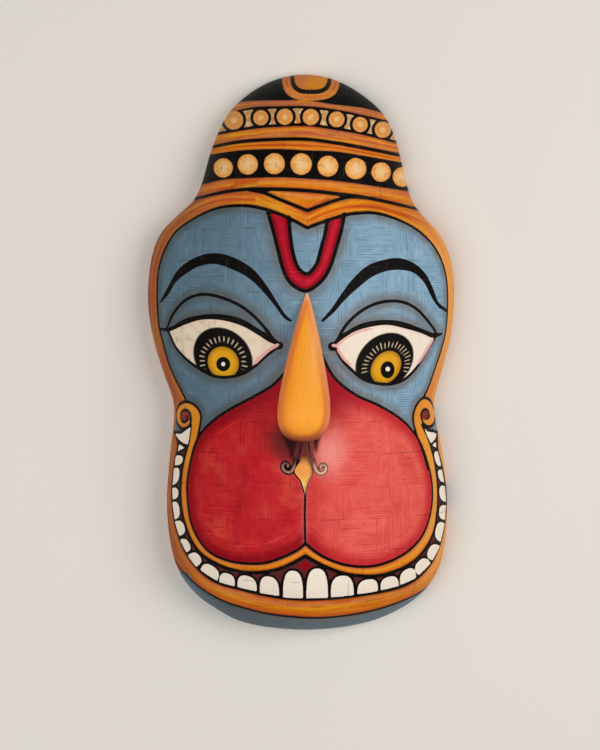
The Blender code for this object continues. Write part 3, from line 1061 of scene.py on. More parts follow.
def make_shell():
    """The moulded shell: the painted skin, the bare hollow behind it and the flat rim between them."""
    skin, place = grid_over_mould("painted_shell", SKIN_COLUMNS, SKIN_ROWS, 0.0, RIM_INSET)
    points = read_points(skin.data)
    place_mm = place * 1000.0
    layers = paint(points)
    near_rim = np.clip(points[:, 2] / RELIEF_FADE, 0.0, 1.0)
    move_points(skin.data, pull_in(points, (PAINT_DEPTH + plait_relief(place_mm)) * near_rim))
    for name, values in layers.items():
        write_attribute(skin.data, name, values)
    write_attribute(skin.data, "plait_place", place_mm, "FLOAT_VECTOR")
    back, back_place = grid_over_mould("hollow", BACK_COLUMNS, BACK_ROWS, -WALL)
    write_attribute(back.data, "plait_place", back_place * 1000.0, "FLOAT_VECTOR")
    edit(back, bpy.ops.mesh.flip_normals)
    for material in (painted_plait(), bare_plait()):
        skin.data.materials.append(material)
        back.data.materials.append(material)
    back.data.polygons.foreach_set("material_index", np.ones(len(back.data.polygons), np.int32))
    only(back, skin)
    bpy.ops.object.join()

    def close_the_rim():
        bpy.ops.mesh.remove_doubles(threshold=1e-6)
        bpy.ops.mesh.select_all(action="DESELECT")
        bpy.ops.mesh.select_mode(type="EDGE")
        bpy.ops.mesh.select_non_manifold(extend=False, use_wire=False, use_multi_face=False, use_verts=False)
        bpy.ops.mesh.bridge_edge_loops()
        bpy.ops.object.material_slot_assign()
        bpy.ops.mesh.select_all(action="SELECT")
        bpy.ops.mesh.normals_make_consistent(inside=False)

    skin.active_material_index = 1
    edit(skin, close_the_rim)
    only(skin)
    bpy.ops.object.shade_smooth_by_angle(angle=SMOOTH_ANGLE)
    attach(skin, "root")
    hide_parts("shell")


def swell(share, power, taper=1.0):
    """The nose's growth from its tip, rounding off at its end, as a share of its largest."""
    peak = (2.0 * taper / (2.0 * taper + power)) ** (1.0 / power)
    most = peak**taper * math.sqrt(1.0 - peak**power)
    return share**taper * np.sqrt(np.clip(1.0 - share**power, 0.0, None)) / most


def rounded(part):
    """One coordinate of the nose's rounded-box section."""
    return np.copysign(np.abs(part) ** (2.0 / NOSE_SECTION_POWER), part)


def teardrop():
    """A sphere drawn out to the nose's teardrop. Its points store how far down and how far in they are."""
    deselect()
    bpy.ops.mesh.primitive_uv_sphere_add(segments=NOSE_SIDES, ring_count=NOSE_RINGS, radius=1.0)
    nose = bpy.context.object
    nose.name = "carved_nose"
    nose.data.name = "carved_nose"
    ball = read_points(nose.data)
    share = (1.0 - ball[:, 2]) / 2.0
    turn = np.arctan2(ball[:, 1], ball[:, 0])
    pole = np.abs(ball[:, 2]) > 0.9999
    width = np.where(pole, 0.0, swell(share, NOSE_END_POWER, NOSE_TAPER) * (NOSE_WIDTH / 2 - NOSE_INSET))
    rise = np.where(pole, 0.0, swell(share, NOSE_RISE_POWER) * (NOSE_RISE - NOSE_INSET))
    height = NOSE_TIP_HEIGHT - NOSE_INSET - share * (NOSE_LENGTH - 2 * NOSE_INSET)
    depth = np.where(np.sin(turn) > 0.0, rise, NOSE_BURIED)
    lift = rounded(np.sin(turn)) * depth
    axis = RIDGE_X + NOSE_LEAN * (1.0 - share)
    points = np.stack((
        axis + rounded(np.cos(turn)) * width,
        height - MASK_HEIGHT / 2,
        ridge_height(height / MASK_HEIGHT) + lift,
    ), axis=1)
    move_points(nose.data, points)
    write_attribute(nose.data, "down_the_nose", share)
    steps = np.linspace(0.0, 1.0, NOSE_STEPS)
    outline_width = swell(steps, NOSE_END_POWER, NOSE_TAPER) * (NOSE_WIDTH / 2 - NOSE_INSET)
    outline_height = NOSE_TIP_HEIGHT - NOSE_INSET - steps * (NOSE_LENGTH - 2 * NOSE_INSET) - MASK_HEIGHT / 2
    outline = np.stack((outline_width, outline_height), axis=1)
    folded = np.stack((np.abs(points[:, 0] - axis), points[:, 1]), axis=1)
    edge = np.linalg.norm(folded[:, None, :] - outline[None], axis=2).min(1)
    write_attribute(nose.data, "nose_edge", edge * 1000.0)
    edit(nose, lambda: bpy.ops.mesh.normals_make_consistent(inside=False))
    return nose


def hollow_out(nose):
    """Cuts the form of the ridge out of the back of the nose, so that the nose sits on it."""
    deselect()
    bpy.ops.mesh.primitive_grid_add(x_subdivisions=SEAT_COLUMNS, y_subdivisions=SEAT_ROWS, size=2.0)
    mould = bpy.context.object
    flat = read_points(mould.data)
    x = RIDGE_X + flat[:, 0] * NOSE_WIDTH
    y = NOSE_TIP_HEIGHT - NOSE_LENGTH / 2 - MASK_HEIGHT / 2 + flat[:, 1] * NOSE_LENGTH * 0.6
    move_points(mould.data, np.stack((x, y, skin_height(x, y) + GLUE_GAP), axis=1))

    def thicken():
        bpy.ops.mesh.extrude_region_move(TRANSFORM_OT_translate={"value": (0.0, 0.0, -NOSE_RISE)})
        bpy.ops.mesh.select_all(action="SELECT")
        bpy.ops.mesh.normals_make_consistent(inside=False)

    edit(mould, thicken)
    only(nose)
    hollow = nose.modifiers.new("hollow", "BOOLEAN")
    hollow.operation = "DIFFERENCE"
    hollow.solver = "EXACT"
    hollow.object = mould
    bpy.ops.object.modifier_apply(modifier=hollow.name)
    bpy.data.objects.remove(mould)


def make_nose():
    """The carved nose, a teardrop hollowed behind."""
    nose = teardrop()
    hollow_out(nose)
    nose.data.materials.clear()
    nose.data.materials.append(painted_wood())
    only(nose)
    bpy.ops.object.shade_smooth_by_angle(angle=SMOOTH_ANGLE)
    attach(nose, "root")
    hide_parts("nose")


class Mixer:
    """A node tree in which paint is mixed. Inputs may be sockets, numbers, colours or vectors."""

    def __init__(self, tree):
        self.tree = tree

    def add(self, kind, settings=None, **inputs):
        """Adds a node, sets it up and fills its inputs by name, where _ stands for a space."""
        node = self.tree.nodes.new(kind)
        for name, value in (settings or {}).items():
            setattr(node, name, value)
        for name, value in inputs.items():
            self.fill(node.inputs[name.replace("_", " ")], value)
        return node

    def fill(self, socket, value):
        """Links a socket into another, or sets its value."""
        if isinstance(value, bpy.types.NodeSocket):
            self.tree.links.new(value, socket)
        elif socket.type == "RGBA" and len(value) == 3:
            socket.default_value = (*value, 1.0)
        else:
            socket.default_value = value

    def math(self, operation, *values):
        """A sum or other operation on one to three values."""
        node = self.add("ShaderNodeMath", {"operation": operation})
        for socket, value in zip(node.inputs, values):
            self.fill(socket, value)
        return node.outputs[0]

    def times(self, first, second):
        """The first value times the second."""
        return self.math("MULTIPLY", first, second)

    def plus(self, first, second):
        """The first value and the second together."""
        return self.math("ADD", first, second)

    def less(self, first, second):
        """The first value less the second."""
        return self.math("SUBTRACT", first, second)

    def ratio(self, first, second):
        """The first value over the second."""
        return self.math("DIVIDE", first, second)

    def swing(self, value, reach):
        """A value about 0.5, made one about 0 that swings as far as the reach."""
        return self.times(self.less(value, 0.5), reach)

    def parts(self, place):
        """The x, y and z of a place."""
        return self.add("ShaderNodeSeparateXYZ", Vector=place).outputs

    def point(self, x, y, z):
        """The place with this x, y and z."""
        return self.add("ShaderNodeCombineXYZ", X=x, Y=y, Z=z).outputs[0]

    def vector(self, operation, *values):
        """An operation on vectors. A length comes out as a value, all else as a vector."""
        node = self.add("ShaderNodeVectorMath", {"operation": operation})
        for socket, value in zip(node.inputs, values):
            self.fill(socket, value)
        return node.outputs["Value" if operation == "LENGTH" else "Vector"]

    def step(self, value, start, end, low=0.0, high=1.0):
        """A smooth step from low to high as the value goes from start to end."""
        node = self.add("ShaderNodeMapRange", {"interpolation_type": "SMOOTHSTEP"})
        for socket, number in zip(node.inputs[:5], (value, start, end, low, high)):
            self.fill(socket, number)
        return node.outputs[0]

    def mix(self, mask, under, over):
        """Paints one colour over another where the mask is 1."""
        node = self.add("ShaderNodeMix", {"data_type": "RGBA"})
        self.fill(node.inputs[0], mask)
        self.fill(node.inputs[6], under)
        self.fill(node.inputs[7], over)
        return node.outputs[2]

    def blend(self, share, first, second):
        """A value from the first to the second, as the share goes from 0 to 1."""
        node = self.add("ShaderNodeMix", {"data_type": "FLOAT"})
        for socket, value in ((node.inputs[0], share), (node.inputs[2], first), (node.inputs[3], second)):
            self.fill(socket, value)
        return node.outputs[0]

    def attribute(self, name, output="Fac"):
        """A value stored at the points of the mesh."""
        return self.add("ShaderNodeAttribute", {"attribute_name": name}).outputs[output]

    def noise(self, place, scale, detail=3.0, roughness=0.55):
        """Smooth noise from about 0.2 to 0.8."""
        node = self.add("ShaderNodeTexNoise", Vector=place, Scale=scale, Detail=detail, Roughness=roughness)
        return node.outputs[0]

    def ramp(self, value, stops):
        """A run of colours."""
        node = self.add("ShaderNodeValToRGB", Fac=value)
        elements = node.color_ramp.elements
        while len(elements) < len(stops):
            elements.new(0.5)
        for element, (position, colour) in zip(elements, stops):
            element.position = position
            element.color = (*colour, 1.0)
        return node.outputs[0]

    def group(self, tree, **inputs):
        """Places a node group."""
        return self.add("ShaderNodeGroup", {"node_tree": tree}, **inputs).outputs


def new_group(name, inputs, outputs):
    """A node group with named sockets. Gives its mixer, its input sockets and its output node."""
    tree = bpy.data.node_groups.new(name, "ShaderNodeTree")
    for socket, kind, value in inputs:
        made = tree.interface.new_socket(socket, in_out="INPUT", socket_type=kind)
        if value is not None:
            made.default_value = value
    for socket, kind in outputs:
        tree.interface.new_socket(socket, in_out="OUTPUT", socket_type=kind)
    entry = tree.nodes.new("NodeGroupInput")
    return Mixer(tree), entry.outputs, tree.nodes.new("NodeGroupOutput")


FLOAT, COLOUR, VECTOR = "NodeSocketFloat", "NodeSocketColor", "NodeSocketVector"


def plait_group():
    """The plait of bamboo strips: patches of fine strips that run now across and now up the mask."""
    mixer, given, out = new_group(
        "plait of bamboo strips",
        (("Place", VECTOR, None), ("Strip", FLOAT, STRIP)),
        (("Height", FLOAT), ("Seam", FLOAT), ("Tint", FLOAT), ("Line", FLOAT), ("Pale", FLOAT)),
    )
    x, y, _ = mixer.parts(given["Place"])
    rows = mixer.ratio(y, PATCH[1])
    row = mixer.math("FLOOR", rows)
    offset = mixer.math("FRACT", mixer.times(row, ROW_OFFSET))
    columns = mixer.plus(mixer.ratio(x, PATCH[0]), offset)
    column = mixer.math("FLOOR", columns)
    upright = mixer.math("FLOORED_MODULO", mixer.plus(column, row), 2.0)
    counted = mixer.blend(upright, y, x)
    lengthwise = mixer.blend(upright, x, y)
    strips = mixer.ratio(counted, given["Strip"])
    uneven = mixer.noise(mixer.point(mixer.times(strips, 0.55), column, row), 1.0, 1.0)
    strips = mixer.plus(strips, mixer.times(uneven, 1.6))
    strip = mixer.math("FLOOR", strips)
    within = mixer.math("ABSOLUTE", mixer.less(mixer.math("FRACT", strips), 0.5))
    groove = mixer.step(within, 0.28, 0.47)
    label = mixer.point(strip, column, row)
    tint = mixer.add("ShaderNodeTexWhiteNoise", {"noise_dimensions": "3D"}, Vector=label).outputs[0]
    patch = mixer.plus(column, mixer.times(row, 5.3))
    patchy = mixer.noise(mixer.point(mixer.times(strip, 3.7), mixer.times(lengthwise, 0.10), patch), 1.0, 2.0)
    line = mixer.times(groove, mixer.step(patchy, 0.42, 0.58))
    pale = mixer.times(mixer.step(within, 0.30, 0.05), mixer.step(patchy, 0.50, 0.36))
    pale = mixer.times(pale, mixer.step(tint, 0.35, 0.8))
    edge_x = mixer.times(mixer.math("PINGPONG", columns, 0.5), PATCH[0])
    edge_y = mixer.times(mixer.math("PINGPONG", rows, 0.5), PATCH[1])
    edge = mixer.math("MINIMUM", edge_x, edge_y)
    parted = mixer.step(mixer.noise(given["Place"], 0.05, 2.0), 0.54, 0.62)
    seam = mixer.times(mixer.step(edge, 0.50, 0.15), parted)
    height = mixer.less(mixer.less(mixer.times(tint, 0.35), mixer.times(groove, 0.5)), seam)
    for name, value in (("Height", height), ("Seam", seam), ("Tint", tint), ("Line", line), ("Pale", pale)):
        mixer.fill(out.inputs[name], value)
    return mixer.tree


def edge_group():
    """The edge of a coat of paint: a distance in millimetres, made a mask that wavers as a hand does."""
    mixer, given, out = new_group(
        "edge of a painted field",
        (("Distance", FLOAT, 1.0), ("Place", VECTOR, None), ("Soft", FLOAT, 0.12), ("Waver", FLOAT, 0.25)),
        (("Mask", FLOAT),),
    )
    sway = mixer.swing(mixer.noise(given["Place"], 0.45, 3.0), given["Waver"])
    moved = mixer.plus(given["Distance"], sway)
    inner = mixer.times(given["Soft"], -1.0)
    mixer.fill(out.inputs["Mask"], mixer.step(moved, given["Soft"], inner))
    return mixer.tree


def brush_group():
    """Brushed paint: a base colour with lighter and darker strokes."""
    mixer, given, out = new_group(
        "brushed paint",
        (("Colour", COLOUR, (0.5, 0.5, 0.5, 1.0)), ("Place", VECTOR, None), ("Amount", FLOAT, 0.5),
         ("Strokes", FLOAT, 0.5)),
        (("Colour", COLOUR),),
    )
    wide = mixer.noise(given["Place"], 0.05, 3.0)
    fine = mixer.noise(given["Place"], given["Strokes"], 4.0, 0.65)
    both = mixer.plus(mixer.times(wide, 0.6), mixer.times(fine, 0.4))
    swing = mixer.swing(both, given["Amount"])
    shift = mixer.add("ShaderNodeHueSaturation", Color=given["Colour"])
    mixer.fill(shift.inputs["Value"], mixer.plus(1.0, swing))
    mixer.fill(shift.inputs["Saturation"], mixer.less(1.0, mixer.times(swing, 0.35)))
    mixer.fill(out.inputs["Colour"], shift.outputs[0])
    return mixer.tree


def spot_group():
    """A round painted spot, by its centre and its two radii in metres, seen from the front."""
    mixer, given, out = new_group(
        "round painted spot",
        (("Place", VECTOR, None), ("Centre", VECTOR, None), ("Half Width", FLOAT, 0.01),
         ("Half Height", FLOAT, 0.01), ("Waver", FLOAT, 0.02)),
        (("Mask", FLOAT), ("Share", FLOAT), ("Angle", FLOAT)),
    )
    x, y, _ = mixer.parts(mixer.vector("SUBTRACT", given["Place"], given["Centre"]))
    flat = mixer.point(mixer.ratio(x, given["Half Width"]), mixer.ratio(y, given["Half Height"]), 0.0)
    sway = mixer.swing(mixer.noise(flat, 1.6, 2.0), given["Waver"])
    share = mixer.plus(mixer.vector("LENGTH", flat), sway)
    mixer.fill(out.inputs["Mask"], mixer.step(share, 1.03, 0.97))
    mixer.fill(out.inputs["Share"], share)
    mixer.fill(out.inputs["Angle"], mixer.math("ARCTAN2", x, y))
    return mixer.tree


PLAIT = plait_group()
EDGE = edge_group()
BRUSH = brush_group()
SPOT = spot_group()


def new_material(name, kind=Mixer):
    """A material with its mixer and its shader."""
    material = bpy.data.materials.new(name)
    material.use_nodes = True
    return material, kind(material.node_tree), material.node_tree.nodes["Principled BSDF"]


def coat(mixer, shader, colour, roughness, height, strength, depth):
    """Lays a coat on the shader: its colour, its roughness and its fine relief."""
    bump = mixer.add("ShaderNodeBump", Strength=strength, Distance=depth, Height=height)
    mixer.fill(shader.inputs["Base Color"], colour)
    mixer.fill(shader.inputs["Roughness"], roughness)
    mixer.fill(shader.inputs["Normal"], bump.outputs[0])


class Face(Mixer):
    """A mixer for the painted face. It knows the places on the face, the plait and the fields of paint."""

    def __init__(self, tree):
        super().__init__(tree)
        self.place = self.attribute("plait_place", "Vector")
        self.front = self.add("ShaderNodeTexCoord").outputs["Object"]
        self.side, self.upward, self.outward = self.parts(self.front)
        self.plait = self.group(PLAIT, Place=self.place)

    def field(self, name, soft=0.13, waver=0.22):
        """The mask of one layer of paint."""
        layer = self.attribute(name)
        return self.group(EDGE, Distance=layer, Place=self.place, Soft=soft, Waver=waver)[0]

    def brushed(self, colour, amount, strokes=0.5, place=None):
        """A colour as the brush leaves it, along the plait or along another place."""
        place = self.place if place is None else place
        return self.group(BRUSH, Colour=colour, Place=place, Amount=amount, Strokes=strokes)[0]

    def near(self, name, start, end, strength, scale=0.1):
        """A worn mask that fades as the distance from a layer of paint goes from start to end."""
        worn = self.step(self.noise(self.place, scale, 3.0), 0.30, 0.62, 0.55, 1.0)
        return self.times(self.step(self.attribute(name), end, start, 0.0, strength), worn)

    def lined(self, colour, dark, share):
        """A colour with dark lines between the strips."""
        return self.mix(self.times(self.plait["Line"], share), colour, dark)

    def threaded(self, colour, pale, share):
        """A colour with pale threads along the strips."""
        return self.mix(self.times(self.plait["Pale"], share), colour, pale)

    def plaited(self, colour, dark, pale, dark_share, pale_share):
        """A colour with the dark lines and then the pale threads of the plait."""
        return self.threaded(self.lined(colour, dark, dark_share), pale, pale_share)

    def spot(self, x, y, half_width_px, half_height_px=None, lean=0.0):
        """A round spot placed by the photograph, its top leaning to the viewer's right by the lean."""
        centre = on_skin([(x, y)])[0]
        place = self.front
        if lean:
            shift = self.times(self.less(self.upward, float(centre[1])), lean)
            place = self.point(self.less(self.side, shift), self.upward, self.outward)
        scale = METRES_PER_PIXEL * (1 - centre[2] / CAMERA_DISTANCE)
        return self.group(
            SPOT, Place=place, Centre=tuple(centre), Half_Width=half_width_px * scale,
            Half_Height=(half_height_px or half_width_px) * scale,
        )

    def blue_ground(self):
        """The blue, with its threads, its grey airbrushing and a few specks, darker towards the viewer's left
        as painted shade.
        """
        blue = self.brushed(BLUE, 0.55, 0.16)
        blue = self.mix(self.step(self.plait["Tint"], 0.5, 1.0, 0.0, 0.16), blue, BLUE_DARK)
        blue = self.plaited(blue, BLUE_DARK, BLUE_PALE, 0.92, 0.58)
        # Painted shade: the blue is darkened towards the viewer's left.
        shade = self.plaited(self.brushed(BLUE_SHADE, 0.5, 0.2), BLACK, BLUE, 0.4, 0.2)
        blue = self.mix(self.step(self.side, 0.056, -0.060, 0.0, 0.76), blue, shade)
        chin = self.brushed(CHIN_GREY, 0.6, 0.3)
        blue = self.mix(self.step(self.upward, -0.136, -0.150, 0.0, 0.66), blue, chin)
        # Painted shade: the grey airbrushing is darker towards the viewer's left.
        haze = self.mix(self.step(self.side, 0.010, -0.050), HAZE, HAZE_SHADE)
        haze = self.plaited(self.brushed(haze, 0.5, 0.3), BLUE_DARK, BLUE_SHADE, 0.4, 0.2)
        blue = self.mix(self.near("haze", 0.8, 6.6, 0.84), blue, haze)
        speck = self.step(self.noise(self.place, 0.55, 2.0), 0.745, 0.78, 0.0, 0.6)
        return self.mix(speck, blue, SPECK)

    def orange_bands(self):
        """The orange bands, brushed along their length, with painted shade on the viewer's left and a painted
        highlight on the right rim.
        """
        across = self.attribute("across")
        redness = self.attribute("redness")
        along_band = self.point(
            self.times(self.attribute("run"), 0.03), self.times(across, 5.0), self.times(redness, 20.0)
        )
        stripe = self.plus(across, self.swing(self.noise(along_band, 1.0, 2.0, 0.45), 0.36))
        plain = self.ramp(stripe, PLAIN_BAND)
        striped = self.ramp(stripe, STRIPED_BAND)
        banded = self.mix(self.step(redness, 0.25, 0.35), plain, striped)
        stretches = self.noise(along_band, 0.9, 2.0)
        rosy = self.mix(self.step(redness, 0.40, 0.70), RUST, ROSY_BROWN)
        redder = self.plus(stretches, self.times(redness, 0.14))
        flush = self.times(self.step(redder, 0.52, 0.62), self.times(redness, 1.15))
        banded = self.mix(flush, banded, rosy)
        yellowed = self.times(self.step(stretches, 0.46, 0.36), self.step(redness, 0.15, 0.5, 0.25, 0.8))
        banded = self.mix(yellowed, banded, BRIGHT_GOLD)
        streaks = self.noise(along_band, 1.8, 2.0, 0.5)
        banded = self.mix(self.step(streaks, 0.54, 0.70, 0.0, 0.36), banded, BRIGHT_GOLD)
        banded = self.mix(self.step(streaks, 0.47, 0.34, 0.0, 0.50), banded, RUST)
        banded = self.plaited(self.brushed(banded, 0.5, 0.9, along_band), BROWN, GOLD, 0.40, 0.25)
        banded = self.mix(self.near("ink", 0.0, 1.1, 0.62, 0.25), banded, BROWN)
        # Painted shade: the redder bands are darker towards the viewer's left.
        leftward = self.step(self.side, -0.040, -0.084, 0.0, 0.62)
        shaded = self.times(leftward, self.step(redness, 0.13, 0.20, 0.15, 1.0))
        banded = self.mix(shaded, banded, self.brushed(BAND_PAINTED_SHADE, 0.5, 0.9, along_band))
        # Painted highlight: the bands turn lighter towards the viewer's right rim.
        rightward = self.step(self.side, 0.060, 0.088, 0.0, 0.62)
        return self.mix(rightward, banded, self.brushed(RIM_PAINTED_LIGHT, 0.3, 0.9, along_band))

    def reds(self):
        """The red: crimson by its edges and brushed lighter within, with painted sheen to the right, darker
        paint beside the nose and a painted shadow under it.
        """
        edge = self.attribute("lobe_edge")
        x, y, _ = self.parts(self.place)
        round_edge = self.point(self.times(edge, 0.9), self.times(x, 0.045), self.times(y, 0.045))
        # Towards the viewer's right the red, its strokes and its threads turn lighter and pinker: partly its
        # own paint and partly painted sheen.
        rightward = self.times(self.step(self.side, -0.010, 0.032), self.step(self.upward, 0.036, 0.016))
        cloudy = self.step(self.noise(self.place, 0.07, 4.0), 0.25, 0.62, 0.72, 1.0)
        inner = self.times(self.step(edge, 1.6, 9.0), cloudy)
        deep = self.mix(rightward, CRIMSON, CORAL)
        light = self.mix(rightward, ROSE, SALMON)
        reds = self.mix(inner, deep, light)
        strokes = self.noise(round_edge, 1.0, 3.0)
        bright = self.times(self.step(strokes, 0.52, 0.68, 0.0, 0.42), inner)
        reds = self.mix(bright, reds, self.mix(rightward, STROKE_LEFT, light))
        reds = self.mix(self.step(strokes, 0.46, 0.34, 0.0, 0.30), reds, deep)
        thread = self.mix(inner, ROSE, self.mix(rightward, THREAD_LEFT, THREAD_RIGHT))
        reds = self.plaited(self.brushed(reds, 0.26, 0.2), deep, thread, 0.78, 0.45)
        on_brow = self.times(self.step(edge, 0.7, 2.6), self.step(self.upward, 0.016, 0.030))
        # Painted shade: the red on the brow is darker towards the viewer's left.
        brow_red = self.mix(self.step(self.side, 0.008, -0.022, 0.0, 0.55), U_RED, CRIMSON)
        reds = self.mix(on_brow, reds, self.plaited(brow_red, CRIMSON, THREAD_LEFT, 0.6, 0.25))
        beside = self.step(self.spot(*NOSE_SIDES_SHADE)["Share"], 1.20, 0.50, 0.0, 0.92)
        reds = self.mix(beside, reds, self.plaited(NOSE_SIDE_RED, MAROON, ROSE, 0.5, 0.3))
        reds = self.mix(self.near("pale", 0.0, 2.4, 0.26, 0.3), reds, VIOLET_GREY)
        # A pale patch beside the ornament: partly pale paint and partly painted sheen.
        pale_and_sheen = self.plus(self.spot(*PALE_PAINT_AND_SHEEN)["Share"], self.swing(self.noise(self.place, 0.20, 3.0), 0.5))
        pale_and_sheen = self.times(self.step(pale_and_sheen, 1.05, 0.05, 0.0, 0.66), self.step(self.side, 0.004, 0.013))
        reds = self.mix(pale_and_sheen, reds, self.plaited(PALE_PINK_AND_SHEEN, THREAD_RIGHT, PINK, 0.62, 0.5))
        # Under the nose's foot: a painted shadow over dark paint.
        foot = self.step(self.spot(*NOSE_FOOT_SHADE)["Share"], 1.1, 0.35, 0.0, 0.80)
        reds = self.mix(foot, reds, FOOT_SHADE)
        return self.mix(self.times(self.field("dark", soft=1.3), 0.94), reds, STEM_DARK)

    def eye_whites(self):
        """The whites of the eyes: threaded, patchy on the viewer's left, pink by the lids and lighter on the
        right as painted light.
        """
        # Painted light: the whites are lighter towards the viewer's right.
        white = self.mix(self.step(self.side, 0.0, 0.03), EYE_WHITE, EYE_WHITE_PAINTED_LIGHT)
        white = self.lined(self.brushed(white, 0.34, 0.4), EYE_LINE, 0.15)
        cloudy = self.step(self.noise(self.place, 0.20, 4.0, 0.7), 0.48, 0.66)
        patches = self.times(cloudy, self.step(self.side, 0.0, -0.07, 0.1, 0.6))
        white = self.mix(patches, white, EYE_TAN)
        return self.mix(self.step(self.attribute("eye"), -2.2, -0.2, 0.0, 0.30), white, PINK)

    def eyeball(self, white, eye):
        """One eye over the whites: its disc, its rays, its iris, its pupil and its highlight."""
        disc = self.spot(*eye["disc"], lean=eye["disc_lean"])
        white = self.mix(disc["Mask"], white, BLACK)
        x, y, inner_px, outer_px = eye["rays"]
        rays = self.spot(x, y, outer_px, lean=eye["iris_lean"])
        start = inner_px / outer_px
        reach = self.plus(rays["Share"], self.swing(self.noise(self.front, 420.0, 1.0), 0.20))
        ring = self.times(self.step(reach, start - 0.04, start + 0.04), self.step(reach, 1.03, 0.95))
        spoke = self.math("ABSOLUTE", self.math("SINE", self.times(rays["Angle"], eye["turns"])))
        upper = self.step(self.math("ABSOLUTE", rays["Angle"]), RAYS_END + 0.05, RAYS_END - 0.05)
        spokes = self.times(self.times(ring, self.step(spoke, 0.84, 0.97)), upper)
        white = self.mix(spokes, white, RAYS)
        iris = self.spot(*eye["iris"], lean=eye["iris_lean"])
        white = self.mix(iris["Mask"], white, self.brushed(self.ramp(iris["Share"], IRIS), 0.35, 1.0))
        white = self.mix(self.spot(*eye["pupil"])["Mask"], white, BLACK)
        return self.mix(self.spot(*eye["light"])["Mask"], white, IVORY)

    def round_gold(self):
        """The gold of the beads, and of the larger dots below them."""
        share = self.attribute("bead_share")
        blotch = self.swing(self.noise(self.place, 0.5, 3.0), 0.9)
        bead = self.ramp(self.plus(share, self.times(blotch, 0.8)), BEAD_GOLD)
        dot = self.ramp(self.plus(share, blotch), DOT_GOLD)
        blots = self.step(self.noise(self.place, 0.26, 2.0), 0.52, 0.66, 0.0, 0.60)
        dot = self.mix(blots, dot, DOT_BROWN)
        return self.mix(self.step(self.upward, DOTS_BELOW + 0.001, DOTS_BELOW - 0.001), bead, dot)

    def line_work(self, colour):
        """Lays the ink over the face, and then the pink strokes, the teeth and the beads."""
        # Pale threads over the black ink: partly scratches and partly painted sheen.
        ink = self.threaded(self.brushed(BLACK, 0.6, 0.6), SCRATCH_AND_SHEEN, 0.30)
        tooth = self.lined(self.brushed(IVORY, 0.16, 0.5), TAN, 0.22)
        colour = self.mix(self.field("ink"), colour, ink)
        colour = self.mix(self.field("pink"), colour, PINK)
        colour = self.mix(self.field("tooth", soft=0.1), colour, tooth)
        return self.mix(self.field("bead", waver=0.7), colour, self.round_gold())

    def lip_ornament(self, colour):
        """Lays the gilt lozenge and its two curls over the red above the lip, darkened under the nose by a
        painted shadow over dark paint.
        """
        colour = self.mix(self.field("grey_edge", soft=0.3), colour, CURL_EDGE)
        downward = self.step(self.upward, -0.0615, -0.0760, -0.30, 0.30)
        gilt = self.ramp(self.plus(self.noise(self.place, 0.12, 2.0), downward), GILT)
        gilt = self.mix(self.near("grey_edge", 0.0, 0.9, 0.5, 0.3), gilt, BROWN)
        # Under the nose's foot the lozenge's tip darkens: a painted shadow over dark paint.
        gilt = self.mix(self.step(self.upward, -0.0630, -0.0560, 0.0, 0.95), gilt, SPIKE_DARK)
        colour = self.mix(self.field("lozenge"), colour, gilt)
        rightward = self.step(self.side, 0.0, 0.006)
        curls = self.mix(rightward, CURL_LEFT, CURL_RIGHT)
        # Under the nose's foot the curls' stems darken: a painted shadow over dark paint.
        stems = self.mix(rightward, CURL_DARK_LEFT, CURL_DARK_RIGHT)
        curls = self.mix(self.step(self.upward, -0.0645, -0.0595, 0.0, 0.95), curls, stems)
        return self.mix(self.field("curl"), colour, curls)


def painted_plait():
    """The painted face: every field of paint in turn, over the plait."""
    material, face, shader = new_material("painted plait", Face)
    colour = face.mix(face.field("band"), face.blue_ground(), face.orange_bands())
    colour = face.mix(face.field("core"), colour, face.brushed(CORE_RED, 0.3))
    colour = face.mix(face.field("red"), colour, face.reds())
    behind_beads = face.ramp(face.noise(face.place, 0.3, 3.0), BEHIND_BEADS)
    for name, paint_colour in (("bead_row", behind_beads), ("mouth", MAROON), ("diamond", CRIMSON)):
        colour = face.mix(face.field(name), colour, paint_colour)
    white = face.eye_whites()
    for eye in EYES:
        white = face.eyeball(white, eye)
    colour = face.mix(face.field("eye"), colour, white)
    colour = face.lip_ornament(face.line_work(colour))
    clean = face.math("MINIMUM", face.attribute("eye"), face.attribute("bead"))
    marked = face.step(clean, -0.5, 0.5, 0.05, 0.36)
    colour = face.mix(face.times(face.plait["Seam"], marked), colour, BLACK)
    gloss = face.plus(0.42, face.times(face.noise(face.place, 0.2, 3.0), 0.24))
    coat(face, shader, colour, gloss, face.plait["Height"], 0.35, 0.00022)
    shader.inputs["Specular IOR Level"].default_value = 0.08
    return material


def bare_plait():
    """The unpainted bamboo of the hollow and the rim."""
    material, mixer, shader = new_material("bare plait")
    place = mixer.attribute("plait_place", "Vector")
    plait = mixer.group(PLAIT, Place=place)
    colour = mixer.group(BRUSH, Colour=BAMBOO, Place=place, Amount=0.5, Strokes=0.4)[0]
    colour = mixer.mix(mixer.times(plait["Tint"], 0.45), colour, BAMBOO_DARK)
    colour = mixer.mix(mixer.times(plait["Line"], 0.6), colour, BAMBOO_LINE)
    colour = mixer.mix(plait["Seam"], colour, BAMBOO_SEAM)
    gloss = mixer.plus(0.55, mixer.times(plait["Tint"], 0.15))
    coat(mixer, shader, colour, gloss, plait["Height"], 0.8, 0.0006)
    return material


